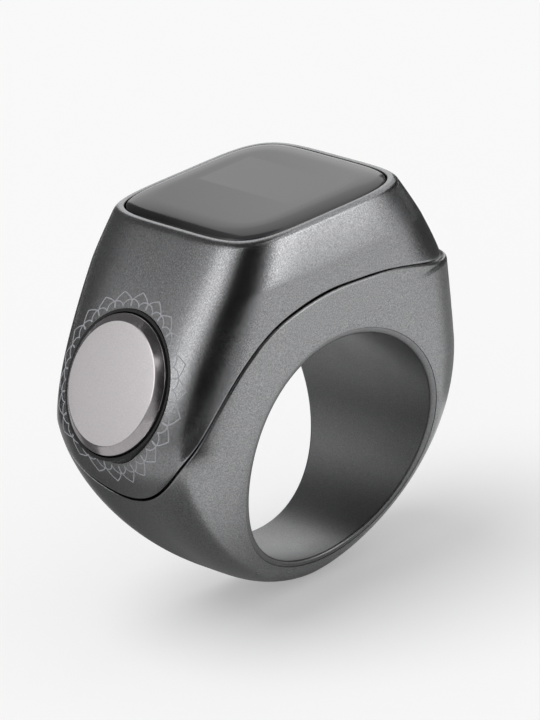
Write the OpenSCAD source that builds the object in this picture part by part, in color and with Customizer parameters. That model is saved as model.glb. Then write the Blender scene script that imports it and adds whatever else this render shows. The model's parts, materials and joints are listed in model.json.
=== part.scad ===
// Digital tasbih counter, worn as a finger ring: a tapered metal band and a head
// that holds a small display under a domed glass, with one push button on its side.
// The origin is the centre of the finger bore, which runs along Y. +Z goes up to the
// display, and the button is on the -X side.

/* [Finger bore] */
// Inner diameter of the finger bore
bore_d = 20; // [18:0.1:20.4]
// Wall of the inner liner
liner_wall = 0.5; // [0.4:0.05:0.6]

/* [Body outline] */
// Height of the display frame above the bore axis
head_top = 20.42; // [20.2:0.01:21.4]
// Height of the longest section above the bore axis
waist_z = 5.1; // [4.8:0.05:5.5]
// Depth of the sole below the bore axis
sole_depth = 12.68; // [12.4:0.01:14]
// Reach of the button side at the waist
left_reach = 17.12; // [17:0.01:17.8]
// Reach of the far side at the waist
right_reach = 15.05; // [14.9:0.01:16]
// Reach of the button side at the display frame
top_left = 7.74; // [7.6:0.01:8]
// Reach of the far side at the display frame
top_right = 10.8; // [10.7:0.01:11.2]
// How much the button panel bows outward, 1 is flat
panel_bow = 1.38; // [1.3:0.01:1.42]
// How much the head's far side bows outward, 1 is flat
far_bow = 1.2; // [1:0.05:1.3]
// Largest half-width of the body
half_width = 10.1; // [10:0.05:10.8]
// Height at which the body is widest
widest_z = 16.7; // [16:0.1:17.5]
// How much narrower each side is at the display frame than at the widest height
crown_draw = 0.68; // [0.4:0.01:0.7]
// Half-width at the sole
sole_half_width = 3.7; // [3.4:0.1:4.6]
// Squareness of the body's plan corners
corner_power = 4.85; // [4.4:0.05:5.3]
// Roundness of the band below the waist on the button side
left_power = 1.69; // [1.66:0.01:1.9]
// Roundness of the band below the waist on the far side
right_power = 1.86; // [1.78:0.01:1.95]
// Radius of the edge round the display frame
frame_edge = 0.35; // [0.25:0.05:0.45]

/* [Shells] */
// Wall of the head shell
head_wall = 0.9; // [0.7:0.05:1]
// Wall of the band beside the pocket
band_wall = 1; // [0.8:0.05:1.1]
// Floor of the band between the liner and the pocket
floor_wall = 0.75; // [0.6:0.05:0.8]
// Height of the seam over the floor, straight above the bore
seam_rise = 3.2; // [3:0.05:3.4]
// Gap at the seam between the head and the band
seam_gap = 0.18; // [0.1:0.02:0.24]
// How far inside the widest place each side of the head's tongue below the button ends
tongue_draw = 1.2; // [1.1:0.05:1.4]
// Height of the tongue's foot against the bore axis
tongue_foot = 0; // [-0.4:0.05:0.4]
// Height of the band's lip on the far side
lip_z = 12.25; // [12:0.05:12.6]
// Step of the band's lip outside the head
lip_step = 0.62; // [0.5:0.02:0.7]
// Depth of the rounding at the ends of the bore
rim_depth = 0.5; // [0.3:0.05:0.6]

/* [Display] */
// Width of the frame round the glass
frame_width = 0.72; // [0.7:0.01:0.9]
// Thickness of the glass at its edge
glass_edge = 1.1; // [0.9:0.05:1.2]
// Rise of the domed glass over the frame
glass_rise = 0.45; // [0.3:0.05:0.5]
// Gap round the glass
glass_gap = 0.1; // [0.06:0.02:0.14]
// Thickness of the adhesive ring under the glass
adhesive_t = 0.15; // [0.1:0.05:0.2]
// Width of the ledge that carries the glass
ledge_width = 0.8; // [0.7:0.05:0.9]
// Thickness of that ledge
ledge_t = 0.6; // [0.5:0.05:0.7]
// Length of the display panel along X
panel_x = 11.6; // [11:0.1:12]
// Distance of the display panel from the edge of the glass along Y
panel_margin = 1.45; // [1.3:0.05:1.7]
// Thickness of the display panel
panel_t = 1.2; // [1:0.05:1.3]

/* [Button] */
// Height of the button's centre
button_z = 9.64; // [9.4:0.02:9.9]
// Tilt of the button's axis above the horizontal
button_tilt = 28.5; // [27:0.5:30]
// Radius of the button cap at its base
cap_r = 5.84; // [5.6:0.02:5.9]
// Radius of the flat face of the cap
face_r = 5.16; // [4.9:0.02:5.3]
// Height of the cap over its bezel
cap_rise = 0.92; // [0.8:0.02:1]
// Travel of the button
press_travel = 0.5; // [0.3:0.05:0.5]
// Running gap round the cap
cap_gap = 0.08; // [0.06:0.01:0.12]
// Wall of the bezel round the cap
bezel_wall = 0.25; // [0.2:0.05:0.35]
// Diameter of the button's stem
stem_d = 3; // [2.8:0.1:3.2]
// Running gap round the stem
stem_gap = 0.04; // [0.03:0.01:0.06]

/* [Electronics] */
// Thickness of the main board
board_t = 0.7; // [0.6:0.05:0.8]
// Thickness of the battery cell
cell_t = 2.1; // [1.8:0.1:2.2]
// Gap between the battery cell and the bosses beside it
cell_gap = 0.2; // [0.15:0.05:0.7]
// Outer diameter of the vibration motor
motor_d = 4; // [3.6:0.1:4]
// Gap between the vibration motor's ends and the bosses beside them
motor_play = 0.25; // [0.2:0.05:0.6]
// Diameter of a charging contact
contact_d = 1.8; // [1.5:0.1:2]
// Distance between the two charging contacts
contact_pitch = 4; // [3.6:0.1:4.4]
// Thread diameter of the case screws
screw_d = 1.2; // [1:0.1:1.3]

/* [Hidden] */
// Overrun of every cut past the face it cuts
over = 1;
// Fit between parts of the same body that only rest on each other
rest_gap = 0.05;
// Number of sides of an exact round
fine = 64;
// Number of sides of a small hole in a shell
coarse = 16;
// Number of sides of the round wire of the seal, and of a screw's socket
wire_sides = 24;
socket_sides = 6;
// Number of points round the window and round the glass
window_points = 56;
glass_points = 64;
$fn = 48;

// Radii of the bore, the liner, the seat and the floor
bore_r = bore_d / 2;
liner_r = bore_r + liner_wall;
seat_r = liner_r + rest_gap;
floor_r = seat_r + floor_wall;

// Stations round the bore, of which one lies at the waist of the far side, stations round
// the head, and samples from bore to crest
ring_stations = 64;
first_station = atan(waist_z / right_reach);
head_stations = 72;
flank_shares = [0, 0.05, 0.12, 0.24, 0.38, 0.52, 0.66, 0.78, 0.87, 0.935, 0.975, 0.9995];
// Share of the rim rounding that each of the first flank samples is drawn in
rim_shares = [1, 0.42, 0.1];
// Seam round the bore: angle, and height over the floor as a share of seam_rise
seam_shares = [[34, 2.9], [39, 2.4], [45, 1.93], [50, 1.68], [56, 1.48], [64, 1.28],
    [78, 1.04], [90, 1], [104, 1.02], [117, 1.1], [131, 1.13], [145, 1.2], [156, 1.32],
    [163, 1.58], [170, 2.2], [174, 2.8]];
// Steps between two seam points
seam_steps = 4;
// Which of the seam points is the tongue's upper corner
corner_index = 12;
// Halvings that find where a ray leaves the body
halvings = 30;
// Powers of the taper from the widest height down to the sole and up to the frame
taper_share = 3.1;
crown_share = 1.2;
// Power of the tongue's outline, 2 is a circle, and its full height as a share of the waist's
tongue_power = 1.8;
tongue_height_share = 1.57;
// Power of the window's outline
window_power = 5;

// Derived heights and middles
body_drop = sole_depth + waist_z;
// A distance past everything
far = left_reach * 2;
waist_mid = (right_reach - left_reach) / 2;
waist_half = (right_reach + left_reach) / 2;
window_mid = (top_right - top_left) / 2;
top_half_width = half_width - crown_draw;
tongue_half = half_width - tongue_draw;
glass_half_x = (top_right + top_left) / 2 - frame_width;
glass_half_y = top_half_width - frame_width;
panel_y = 2 * (glass_half_y - panel_margin);
glass_z = head_top - glass_edge;
ledge_z = glass_z - adhesive_t;
roof_z = ledge_z - ledge_t;

function lerp(a, b, t) = a + (b - a) * t;
function sgn(v) = v < 0 ? -1 : 1;
function pow0(v, e) = v <= 0 ? 0 : pow(v, e);

// Share of the way from the waist up to the frame
function rise(z) = max(0, (z - waist_z) / (head_top - waist_z));
// Share of the way from the waist down to the sole
function drop(z, inset) = max(0, (waist_z - z) / (body_drop - inset));

// Reach of the button side and of the far side at height z
function left_x(z) = left_reach - (left_reach - top_left) * pow0(rise(z), panel_bow);
function right_x(z, band) = band ? right_reach : right_reach - lip_step
    - (right_reach - lip_step - top_right) * pow0((z - lip_z) / (head_top - lip_z), far_bow);

// Middle and half-length of the level section at height z
function mid_x(z, band) = z >= waist_z ? (right_x(z, band) - left_x(z)) / 2
    : waist_mid * (1 - drop(z, 0));
function half_x(z, side, band) = z >= waist_z ? (right_x(z, band) + left_x(z)) / 2
    : waist_half + side * waist_mid * drop(z, 0);
// Half-width at height z
function half_y(z) = z < widest_z
    ? lerp(half_width, sole_half_width, pow((widest_z - z) / (widest_z + sole_depth), taper_share))
    : lerp(half_width, top_half_width, pow((z - widest_z) / (head_top - widest_z), crown_share));
function side_power(side) = side < 0 ? left_power : right_power;

// How far out (x, z) lies, 1 on the outline seen along Y
function gauge(x, z, inset, band) =
    let (side = sgn(x - mid_x(z, band)), m = side_power(side))
    pow(pow(abs(x - mid_x(z, band)) / (half_x(z, side, band) - inset), m)
        + pow(drop(z, inset), m), 1 / m);
// Half-width of the body at (x, z)
function width_at(x, z, inset, band) =
    pow0(1 - pow(gauge(x, z, inset, band), corner_power), 1 / corner_power)
    * (half_y(z) - inset);

// Radius at which a ray from the bore axis leaves the body, by halving
function outer_r(a, inset, band, lo, hi, steps) = steps == 0 ? lo
    : let (r = (lo + hi) / 2, z = r * sin(a))
    gauge(r * cos(a), z, inset, band) < 1 && z < head_top - inset
    ? outer_r(a, inset, band, r, hi, steps - 1) : outer_r(a, inset, band, lo, r, steps - 1);

// Faces of a grid of closed rings; wrapped joins the last ring to the first
function grid_faces(rings, n, wrapped) = [
    for (j = [0 : rings - (wrapped ? 1 : 2)], i = [0 : n - 1])
        let (a = j * n, b = ((j + 1) % rings) * n, k = (i + 1) % n)
        each [[a + i, b + i, b + k], [a + i, b + k, a + k]]];
function flat(rings) = [for (ring = rings) each ring];

// Lofted solid through rings of equal length, closed by its first and last ring
module loft(rings) {
    n = len(rings[0]);
    last = (len(rings) - 1) * n;
    polyhedron(flat(rings), concat(grid_faces(len(rings), n, false),
        [[for (i = [0 : n - 1]) i]], [[for (i = [n - 1 : -1 : 0]) last + i]]));
}

// One section of the body through the bore axis, at angle a, from radius r0 outward
function ring_section(a, r0, inset, rim) =
    let (r1 = outer_r(a, inset, true, r0, far, halvings),
        side = [for (i = [0 : len(flank_shares) - 1])
            let (r = lerp(r0, r1, flank_shares[i]), x = r * cos(a), z = r * sin(a),
                cut = i < len(rim_shares) ? rim * rim_shares[i] : 0)
            [x, width_at(x, z, inset, true) - cut, z]])
    concat(side, [for (i = [len(side) - 1 : -1 : 0]) [side[i][0], -side[i][1], side[i][2]]]);

// The body as a ring round the bore, drawn in by inset
module ring_solid(r0, inset, rim) {
    rings = [for (j = [0 : ring_stations - 1])
        ring_section(first_station - j * 360 / ring_stations, r0, inset, rim)];
    polyhedron(flat(rings), grid_faces(ring_stations, len(rings[0]), true));
}

// Point of the level section at height z, in direction t, for the head
function level_point(t, z, inset) =
    let (n = corner_power, k = drop(z, inset), side = sgn(cos(t)), m = side_power(side),
        r = pow(pow(abs(cos(t)), n) + pow(abs(sin(t)), n), -1 / n),
        q = abs(r * sin(t)) * pow0(1 - pow(k, n), 1 / n),
        x = pow0(pow0(1 - pow(q, n), m / n) - pow(k, m), 1 / m))
    [mid_x(z, false) + side * x * (half_x(z, side, false) - inset),
        sgn(sin(t)) * q * (half_y(z) - inset), z];
function level_ring(z, inset) = [for (i = [0 : head_stations - 1])
    level_point((i + 0.5) * 360 / head_stations, z, inset)];

// Heights of the head's rings, as shares of the way from its foot to its top
head_shares = [0, 0.06, 0.12, 0.18, 0.23, 0.28, 0.34, 0.41, 0.48, 0.55, 0.62, 0.69, 0.76,
    0.83, 0.9, 1];
head_foot = tongue_foot - over;
// Steps of the rounded edge round the frame
edge_steps = 3;

// The head's outer form, drawn in by inset, up to height top
module head_solid(inset, top, edge) {
    walls = [for (s = head_shares) level_ring(lerp(head_foot, top - edge, s), inset)];
    rounds = [for (i = [1 : edge_steps]) let (a = 90 * i / edge_steps)
        level_ring(top - edge * (1 - sin(a)), inset + edge * (1 - cos(a)))];
    loft(edge > 0 ? concat(walls, rounds) : walls);
}

// Smooth curve through a list of points
function spline(p0, p1, p2, p3, t) = 0.5 * (2 * p1 + (p2 - p0) * t
    + (2 * p0 - 5 * p1 + 4 * p2 - p3) * t * t + (3 * p1 - p0 - 3 * p2 + p3) * t * t * t);
function seam_points(gap) = [for (i = [1 : len(seam_shares) - 3], s = [0 : seam_steps - 1])
    let (p = spline(seam_shares[i - 1], seam_shares[i], seam_shares[i + 1],
            seam_shares[i + 2], s / seam_steps),
        r = floor_r + seam_rise * p[1] + gap)
    [r * cos(p[0]), r * sin(p[0])]];

// Everything above the seam, seen along Y
module above_seam(gap) {
    seam = seam_points(gap);
    last = seam[len(seam) - 1];
    rotate([90, 0, 0])
        linear_extrude(height = far, center = true)
            polygon(concat([[far, seam[0][1]]], seam, [[-far, last[1]], [-far, far], [far, far]]));
}

// The tongue's outline, seen along X: a bowl from its foot up to the seam's last corner
seam_corner = seam_shares[corner_index];
corner_r = floor_r + seam_rise * seam_corner[1];
corner_x = corner_r * cos(seam_corner[0]);
tongue_top = corner_r * sin(seam_corner[0]);
tongue_rise = waist_z * tongue_height_share;
tongue_steps = 24;
function tongue_z(y, gap) = tongue_foot + gap
    + tongue_rise * (1 - pow0(1 - pow(abs(y) / (tongue_half - gap), tongue_power), 1 / tongue_power));
module tongue_side(gap) {
    h = tongue_half - gap;
    // Half-width of the bowl at its top
    w = h * pow(1 - pow(1 - (tongue_top - tongue_foot) / tongue_rise, tongue_power), 1 / tongue_power);
    translate([-left_reach - over, 0, 0])
        rotate([90, 0, 90])
            linear_extrude(height = left_reach + over + corner_x - gap)
                polygon([for (i = [-tongue_steps : tongue_steps])
                    let (y = w * sin(90 * i / tongue_steps)) [y, tongue_z(y, gap)]]);
}

// Superellipse outline in the plane
function super_outline(hx, hy, power, count) = [for (i = [0 : count - 1])
    let (t = (i + 0.5) * 360 / count,
        r = pow(pow(abs(cos(t)), power) + pow(abs(sin(t)), power), -1 / power))
    [hx * r * cos(t), hy * r * sin(t)]];
module window_shape(grow, z0, z1) {
    translate([window_mid, 0, z0])
        linear_extrude(height = z1 - z0)
            polygon(super_outline(glass_half_x + grow, glass_half_y + grow, window_power,
                window_points));
}

// Share of the cap's rise that the bezel's face lies inside the panel
bezel_sink_share = 0.25;
// Puts its children on the button's axis, with +Z outward from the bezel's face
button_x = bezel_sink_share * cap_rise - left_x(button_z);
module at_button() {
    translate([button_x, 0, button_z])
        rotate([0, button_tilt - 90, 0])
            children();
}
bezel_r = cap_r + cap_gap + bezel_wall;
// Depth of the button's works below the bezel's face, down to a gap over the floor
works_gap = 0.5;
works_depth = button_z * sin(button_tilt) - button_x * cos(button_tilt) - floor_r - works_gap;
// Lowest points of the pocket on the far side, as an angle round the bore, and on the button side
pocket_foot_angle = 40;
pocket_foot_z = floor_r * sin(pocket_foot_angle);
pocket_left_z = button_z - bezel_r;

// Where the band is hollow, seen along Y: from the button's foot to the lip
pocket_lip = lip_step + band_wall + seam_gap;
module pocket_zone() {
    wall_x = right_x(lip_z, true) - pocket_lip;
    rotate([90, 0, 0])
        linear_extrude(height = far, center = true)
            polygon([[wall_x - floor_wall, pocket_foot_z], [wall_x, lip_z + over],
                [wall_x, head_top], [-far, head_top], [-far, pocket_left_z], [0, pocket_left_z]]);
}

module head_shell() {
    color("dimgray")
        resize([0, 0, 0])
            difference() {
                intersection() {
                    head_solid(0, head_top, frame_edge);
                    union() {
                        above_seam(seam_gap / 2);
                        tongue_side(seam_gap / 2);
                    }
                }
                head_solid(head_wall, roof_z, 0);
                window_shape(glass_gap, glass_z - adhesive_t, head_top + over);
                window_shape(-ledge_width, roof_z - over, head_top);
                at_button()
                    cylinder(h = works_depth * 2, r = bezel_r + rest_gap, center = true);
            }
}

module ring_band() {
    color("gray")
        resize([0, 0, 0])
            difference() {
                ring_solid(seat_r, 0, rim_depth);
                above_seam(-seam_gap / 2);
                difference() {
                    tongue_side(-seam_gap / 2);
                    head_solid(head_wall + seam_gap, head_top, 0);
                }
                difference() {
                    intersection() {
                        ring_solid(floor_r, band_wall, 0);
                        pocket_zone();
                    }
                    at_posts(0)
                        cylinder(h = boss_z, r = boss_r, $fn = coarse);
                }
                at_posts(0)
                    cylinder(h = boss_z + over, r = screw_d / 2 + rest_gap, $fn = coarse);
                at_posts(0)
                    cylinder(h = screw_z + screw_head_t + rest_gap, r = screw_head_d / 2 + rest_gap,
                        $fn = coarse);
                contact_sites()
                    cylinder(h = floor_r, r = contact_d / 2 + rest_gap, $fn = coarse);
                at_button()
                    cylinder(h = (works_depth + rest_gap) * 2, r = bezel_r + rest_gap,
                        center = true);
            }
}

// Half-length of the liner at height z: it ends in the rounding at the end of the bore
function liner_half(z) =
    let (x = sqrt(max(0, bore_r * bore_r - z * z)))
    min(width_at(x, z, 0, true), width_at(-x, z, 0, true)) - rim_depth;
liner_steps = 16;
liner_top_half = liner_half(bore_r);
function liner_outline() =
    let (h = liner_r + over,
        side = [for (i = [0 : liner_steps]) let (z = -bore_r * cos(180 * i / liner_steps))
            [liner_half(z), z]],
        right = concat([[side[0][0], -h]], side, [[liner_top_half, h]]))
    concat(right, [for (i = [len(right) - 1 : -1 : 0]) [-right[i][0], right[i][1]]]);
module inner_liner() {
    color("dimgray")
        difference() {
            intersection() {
                rotate([90, 0, 0])
                    cylinder(h = liner_top_half * 2, r = liner_r, center = true, $fn = fine);
                rotate([90, 0, 90])
                    linear_extrude(height = liner_r * 2 + over, center = true)
                        polygon(liner_outline());
            }
            rotate([90, 0, 0])
                cylinder(h = liner_top_half * 2 + over, r = bore_r, center = true, $fn = fine);
            contact_sites()
                cylinder(h = liner_wall * 2 + over, r = contact_d / 2 + rest_gap, center = true);
        }
}

// Charging contacts in the ceiling of the bore, with a flange inside, and the magnets beside them
contact_x = 0;
contact_flange = 0.4;
contact_tip_z = bore_r + rest_gap;
magnet_d = 3;
magnet_t = 1.2;
magnet_z = floor_r + rest_gap;
// Walls of the holder that keeps them in place
holder_wall = 0.6;
holder_top_z = magnet_z + magnet_t;
module contact_sites() {
    for (s = [-1, 1])
        translate([contact_x, s * contact_pitch / 2, contact_tip_z])
            children();
}
module charge_contacts() {
    color("gold")
        contact_sites() {
            cylinder(h = holder_top_z - contact_tip_z, r = contact_d / 2 - rest_gap);
            translate([0, 0, holder_top_z - contact_tip_z])
                cylinder(h = contact_flange, r = contact_d / 2 + contact_flange);
        }
}
magnet_y = contact_pitch / 2 + contact_d / 2 + holder_wall + magnet_d / 2;
holder_length = 2 * (magnet_y + magnet_d / 2 + holder_wall);
holder_width = magnet_d + 2 * holder_wall;
module contact_holder() {
    color("black")
        difference() {
            translate([contact_x - holder_width / 2, -holder_length / 2, floor_r - over])
                cube([holder_width, holder_length, holder_top_z - floor_r + over]);
            rotate([90, 0, 0])
                cylinder(h = holder_length + over, r = floor_r + rest_gap, center = true, $fn = fine);
            translate([0, 0, -over])
                contact_sites()
                    cylinder(h = floor_r, r = contact_d / 2);
            for (s = [-1, 1])
                translate([contact_x, s * magnet_y, magnet_z])
                    cylinder(h = magnet_t + over, r = magnet_d / 2 + rest_gap);
        }
}
module charge_magnets() {
    color("silver")
        for (s = [-1, 1])
            translate([contact_x, s * magnet_y, magnet_z + rest_gap])
                cylinder(h = magnet_t - rest_gap, r = magnet_d / 2);
}

// Glass with domed edges, its adhesive ring, and the display panel under it
dome_steps = 5;
// How far in from the edge the glass is domed
dome_run = 2.2;
module display_glass() {
    function ring(inset, z) = [for (p = super_outline(glass_half_x - inset,
        glass_half_y - inset, window_power, glass_points)) [p[0] + window_mid, p[1], z]];
    color([0.2, 0.2, 0.22])
        loft(concat([ring(0, glass_z), ring(0, head_top)],
            [for (i = [1 : dome_steps]) let (a = 90 * i / dome_steps)
                ring(dome_run * (1 - cos(a)), head_top + glass_rise * sin(a))]));
}
module glass_adhesive() {
    color("black")
        difference() {
            window_shape(-rest_gap, ledge_z, glass_z);
            window_shape(-ledge_width, ledge_z - over, glass_z + over);
        }
}
// The lit area lies toward the far side of the panel, so the panel sits off centre
panel_offset = -0.1;
panel_z = glass_z - rest_gap - panel_t;
module panel_block(grow, z0, z1) {
    translate([window_mid + panel_offset - panel_x / 2 - grow, -panel_y / 2 - grow, z0])
        cube([panel_x + 2 * grow, panel_y + 2 * grow, z1 - z0]);
}
module oled_panel() {
    color([0.1, 0.1, 0.14])
        panel_block(0, panel_z, panel_z + panel_t);
}

// Tray under the panel: a plate with a rim, four posts for the case screws
tray_plate = 0.9;
tray_inset = head_wall + 2 * rest_gap;
tray_top_z = roof_z - rest_gap;
tray_z = panel_z - rest_gap - tray_plate;
// Posts, where they stand, clear of the shell, and the depth of their pilot holes
post_r = 1.1;
post_pitch = 10.4;
post_shift = -0.5;
post_play = 1.2;
post_y = half_width - head_wall - post_play - post_r;
post_bore = 3;
// Bosses of the band under the posts
boss_r = 1.5;
boss_rise = 0.7;
boss_z = floor_r + boss_rise;
module inner_slab(inset, z0, z1) {
    // The section at the top is the smallest, so a slab of it fits below the roof
    translate([0, 0, z0])
        linear_extrude(height = z1 - z0)
            polygon([for (p = level_ring(z1, inset)) [p[0], p[1]]]);
}
module at_posts(z) {
    for (e = [-1, 1], s = [-1, 1])
        translate([window_mid + post_shift + e * post_pitch / 2, s * post_y, z])
            children();
}
module display_tray() {
    color("darkslategray")
        difference() {
            union() {
                inner_slab(tray_inset, tray_z, tray_top_z);
                at_posts(boss_z + rest_gap)
                    cylinder(h = tray_z - boss_z, r = post_r);
            }
            panel_block(rest_gap, panel_z - rest_gap, head_top);
            flex_slot();
            at_posts(boss_z - over)
                cylinder(h = post_bore + over, r = screw_d / 2);
        }
}

// Main board, on the shoulders of the tray's posts, with its parts on top
board_gap = 1.1;
board_z = tray_z - board_gap - board_t;
// Play between the board's edge and the shell
board_play = 0.4;
board_inset = head_wall + board_play;
module main_board() {
    color("darkgreen")
        difference() {
            inner_slab(board_inset, board_z, board_z + board_t);
            at_posts(board_z - over)
                cylinder(h = board_t + 2 * over, r = post_r + 2 * rest_gap);
        }
}
// Chips as place along X and Y, length, width and height. The places and lengths are shares
// of the glass's half-length and half-width, the heights are shares of the board's thickness
chip_shares = [[0.52, 0, 0.19, 0.18, 0.85], [-0.43, 0.4, 0.23, 0.14, 0.7],
    [-0.43, -0.4, 0.23, 0.14, 0.7], [0.68, 0.42, 0.12, 0.06, 0.6],
    [0.68, -0.42, 0.12, 0.06, 0.6], [-0.82, 0.53, 0.14, 0.09, 0.85],
    [0.45, 0.45, 0.12, 0.06, 0.6], [0.45, -0.45, 0.12, 0.06, 0.6]];
processor_share = [0.08, 0, 0.47, 0.46, 1.15];
antenna_share = [0.83, 0, 0.19, 0.58, 1.3];
module chip(share) {
    size = [share[2] * glass_half_x, share[3] * glass_half_y, share[4] * board_t];
    translate([window_mid + share[0] * glass_half_x - size[0] / 2,
        share[1] * glass_half_y - size[1] / 2, board_z + board_t])
        cube(size);
}
module board_chips() {
    color("dimgray")
        for (share = chip_shares)
            chip(share);
}
module processor_chip() {
    color("black")
        chip(processor_share);
}
module chip_antenna() {
    color("white")
        chip(antenna_share);
}

// Flexible cable from the panel's edge, through the tray, to a connector on the board
flex_t = 0.12;
flex_width = 6;
flex_x = window_mid + panel_offset - panel_x / 2;
// Connector under the cable's end: its size, and its place past the panel's edge
connector_size = [1.4, 5, 0.6];
connector_reach = 0.9;
module flex_connector() {
    color("tan")
        translate([flex_x + connector_reach, -connector_size[1] / 2, board_z + board_t])
            cube(connector_size);
}
flex_top_z = panel_z + panel_t / 2;
flex_foot_z = board_z + board_t + connector_size[2] + rest_gap + flex_t / 2;
flex_bend = (flex_top_z - flex_foot_z) / 2;
module flex_outline(grow) {
    // A half ring from the panel's height down to the connector's, with two short tails
    translate([flex_x, flex_top_z - flex_bend]) {
        difference() {
            circle(r = flex_bend + flex_t / 2 + grow);
            circle(r = flex_bend - flex_t / 2 - grow);
            translate([0, -flex_bend * 2])
                square([flex_bend * 2, flex_bend * 4]);
        }
        translate([0, -flex_bend - flex_t / 2 - grow])
            square([connector_reach + connector_size[0] / 2, flex_t + 2 * grow]);
    }
}
module display_flex() {
    color("orange")
        rotate([90, 0, 0])
            linear_extrude(height = flex_width, center = true)
                flex_outline(0);
}
module flex_slot() {
    translate([flex_x - flex_bend - 4 * rest_gap, -flex_width / 2 - 4 * rest_gap, tray_z - over])
        cube([flex_bend + 5 * rest_gap, flex_width + 8 * rest_gap, head_top - tray_z]);
}

// Curved battery cell that follows the band's floor between two angles, on a strip of foam
cell_start_angle = 46;
cell_end_angle = 78;
cell_width = 2 * (post_y - boss_r - cell_gap);
foam_t = 0.3;
// How much less the foam reaches than the cell, along Y and at either end as an angle
foam_draw = 0.5;
foam_end = 2;
module floor_arc(r0, r1, width, a0, a1) {
    rotate([-90, 0, 0])
        rotate([0, 0, -a1])
            rotate_extrude(angle = a1 - a0, $fn = fine)
                translate([r0, -width / 2])
                    square([r1 - r0, width]);
}
module battery_foam() {
    color("darkgray")
        floor_arc(floor_r + rest_gap, floor_r + foam_t - rest_gap / 2, cell_width - 2 * foam_draw,
            cell_start_angle + foam_end, cell_end_angle - foam_end);
}
module battery_cell() {
    color("silver")
        floor_arc(floor_r + foam_t, floor_r + foam_t + cell_t, cell_width, cell_start_angle, cell_end_angle);
}

// The button, from its face inward. Depths are below the bezel's face, and the bezel and
// the stem share the depth that the switch and its board leave
switch_height = 1.6;
switch_board_t = 0.6;
switch_board_depth = works_depth - switch_board_t;
switch_top = switch_board_depth - switch_height;
cap_skirt_share = 0.18;
bezel_floor_share = 0.385;
bezel_end_share = 0.615;
clip_share = 0.68;
stem_share = 0.845;
seal_share = 0.077;
cap_skirt = switch_top * cap_skirt_share;
bezel_floor = switch_top * bezel_floor_share;
bezel_end = switch_top * bezel_end_share;
clip_depth = switch_top * clip_share;
stem_depth = switch_top * stem_share;
seal_r = switch_top * seal_share;
cap_top_t = 0.9;
cap_wall = 1;
clip_t = 0.25;
clip_wall = 0.7;
plunger_d = 1.6;
switch_size = 4.4;
switch_board_x = 6;
switch_board_y = 8;

module button_cap() {
    color("silver")
        at_button()
            difference() {
                union() {
                    translate([0, 0, -cap_skirt])
                        cylinder(h = cap_skirt, r = cap_r, $fn = fine);
                    cylinder(h = cap_rise, r1 = cap_r, r2 = face_r, $fn = fine);
                }
                translate([0, 0, -cap_skirt - over])
                    cylinder(h = cap_skirt + over + cap_rise - cap_top_t, r = cap_r - cap_wall, $fn = fine);
            }
}
module button_stem() {
    color("gainsboro")
        at_button()
            rotate_extrude($fn = fine)
                polygon([[0, cap_rise - cap_top_t], [stem_d / 2, cap_rise - cap_top_t],
                    [stem_d / 2, -clip_depth], [stem_d / 2 - seal_r, -clip_depth],
                    [stem_d / 2 - seal_r, -clip_depth - clip_t],
                    [stem_d / 2, -clip_depth - clip_t], [stem_d / 2, -stem_depth],
                    [0, -stem_depth]]);
}
module stem_clip() {
    color("black")
        at_button()
            translate([0, 0, -clip_depth - clip_t + rest_gap / 2])
                difference() {
                    cylinder(h = clip_t - rest_gap, r = stem_d / 2 + clip_wall);
                    translate([0, 0, -over])
                        cylinder(h = clip_t + 2 * over, r = stem_d / 2 - seal_r + rest_gap / 2);
                    translate([0, -seal_r, -over])
                        cube([stem_d, 2 * seal_r, clip_t + 2 * over]);
                }
}
module button_bezel() {
    bore = stem_d / 2 + stem_gap;
    gland = stem_d / 2 + 2 * seal_r + rest_gap;
    color([0.15, 0.15, 0.16])
        at_button()
            rotate_extrude($fn = fine)
                polygon([[bore, -bezel_end], [bezel_r, -bezel_end],
                    [bezel_r, 0], [cap_r + cap_gap, 0], [cap_r + cap_gap, -bezel_floor],
                    [gland, -bezel_floor], [gland, -bezel_floor - 2 * seal_r - rest_gap],
                    [bore, -bezel_floor - 2 * seal_r - rest_gap]]);
}
module stem_seal() {
    color("black")
        at_button()
            translate([0, 0, -bezel_floor - seal_r])
                rotate_extrude($fn = fine)
                    translate([stem_d / 2 + seal_r + rest_gap / 2, 0])
                        circle(r = seal_r, $fn = wire_sides);
}
module switch_plunger() {
    color("white")
        at_button()
            translate([0, 0, -switch_top - press_travel])
                cylinder(h = switch_top + press_travel - stem_depth - rest_gap, r = plunger_d / 2);
}
module switch_body() {
    color("black")
        at_button()
            difference() {
                translate([-switch_size / 2, -switch_size / 2, -switch_top - switch_height])
                    cube([switch_size, switch_size, switch_height]);
                translate([0, 0, -switch_top - 2 * press_travel - rest_gap])
                    cylinder(h = switch_height, r = plunger_d / 2 + rest_gap);
            }
}
module switch_board() {
    color("darkgreen")
        at_button()
            translate([-switch_board_x / 2, -switch_board_y / 2, -works_depth])
                cube([switch_board_x, switch_board_y, switch_board_t]);
}

// Flexible strip from the switch board's upper edge to the underside of the main board
strip_width = 1.6;
strip_y = 2.9;
switch_edge_x = button_x + switch_board_depth * cos(button_tilt)
    + switch_board_x / 2 * sin(button_tilt);
switch_edge_z = button_z - switch_board_depth * sin(button_tilt)
    + switch_board_x / 2 * cos(button_tilt);
module switch_flex() {
    color("orange")
        translate([switch_edge_x, strip_y - strip_width / 2, switch_edge_z + rest_gap])
            cube([flex_t, strip_width, board_z - switch_edge_z - 2 * rest_gap]);
}

// Vibration motor along Y on a rubber cradle, with its eccentric weight
strip_gap = 0.25;
motor_x = switch_edge_x + flex_t + strip_gap + motor_d / 2;
motor_z = 12.5;
motor_y = boss_r + motor_play - post_y;
shaft_d = 0.8;
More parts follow.
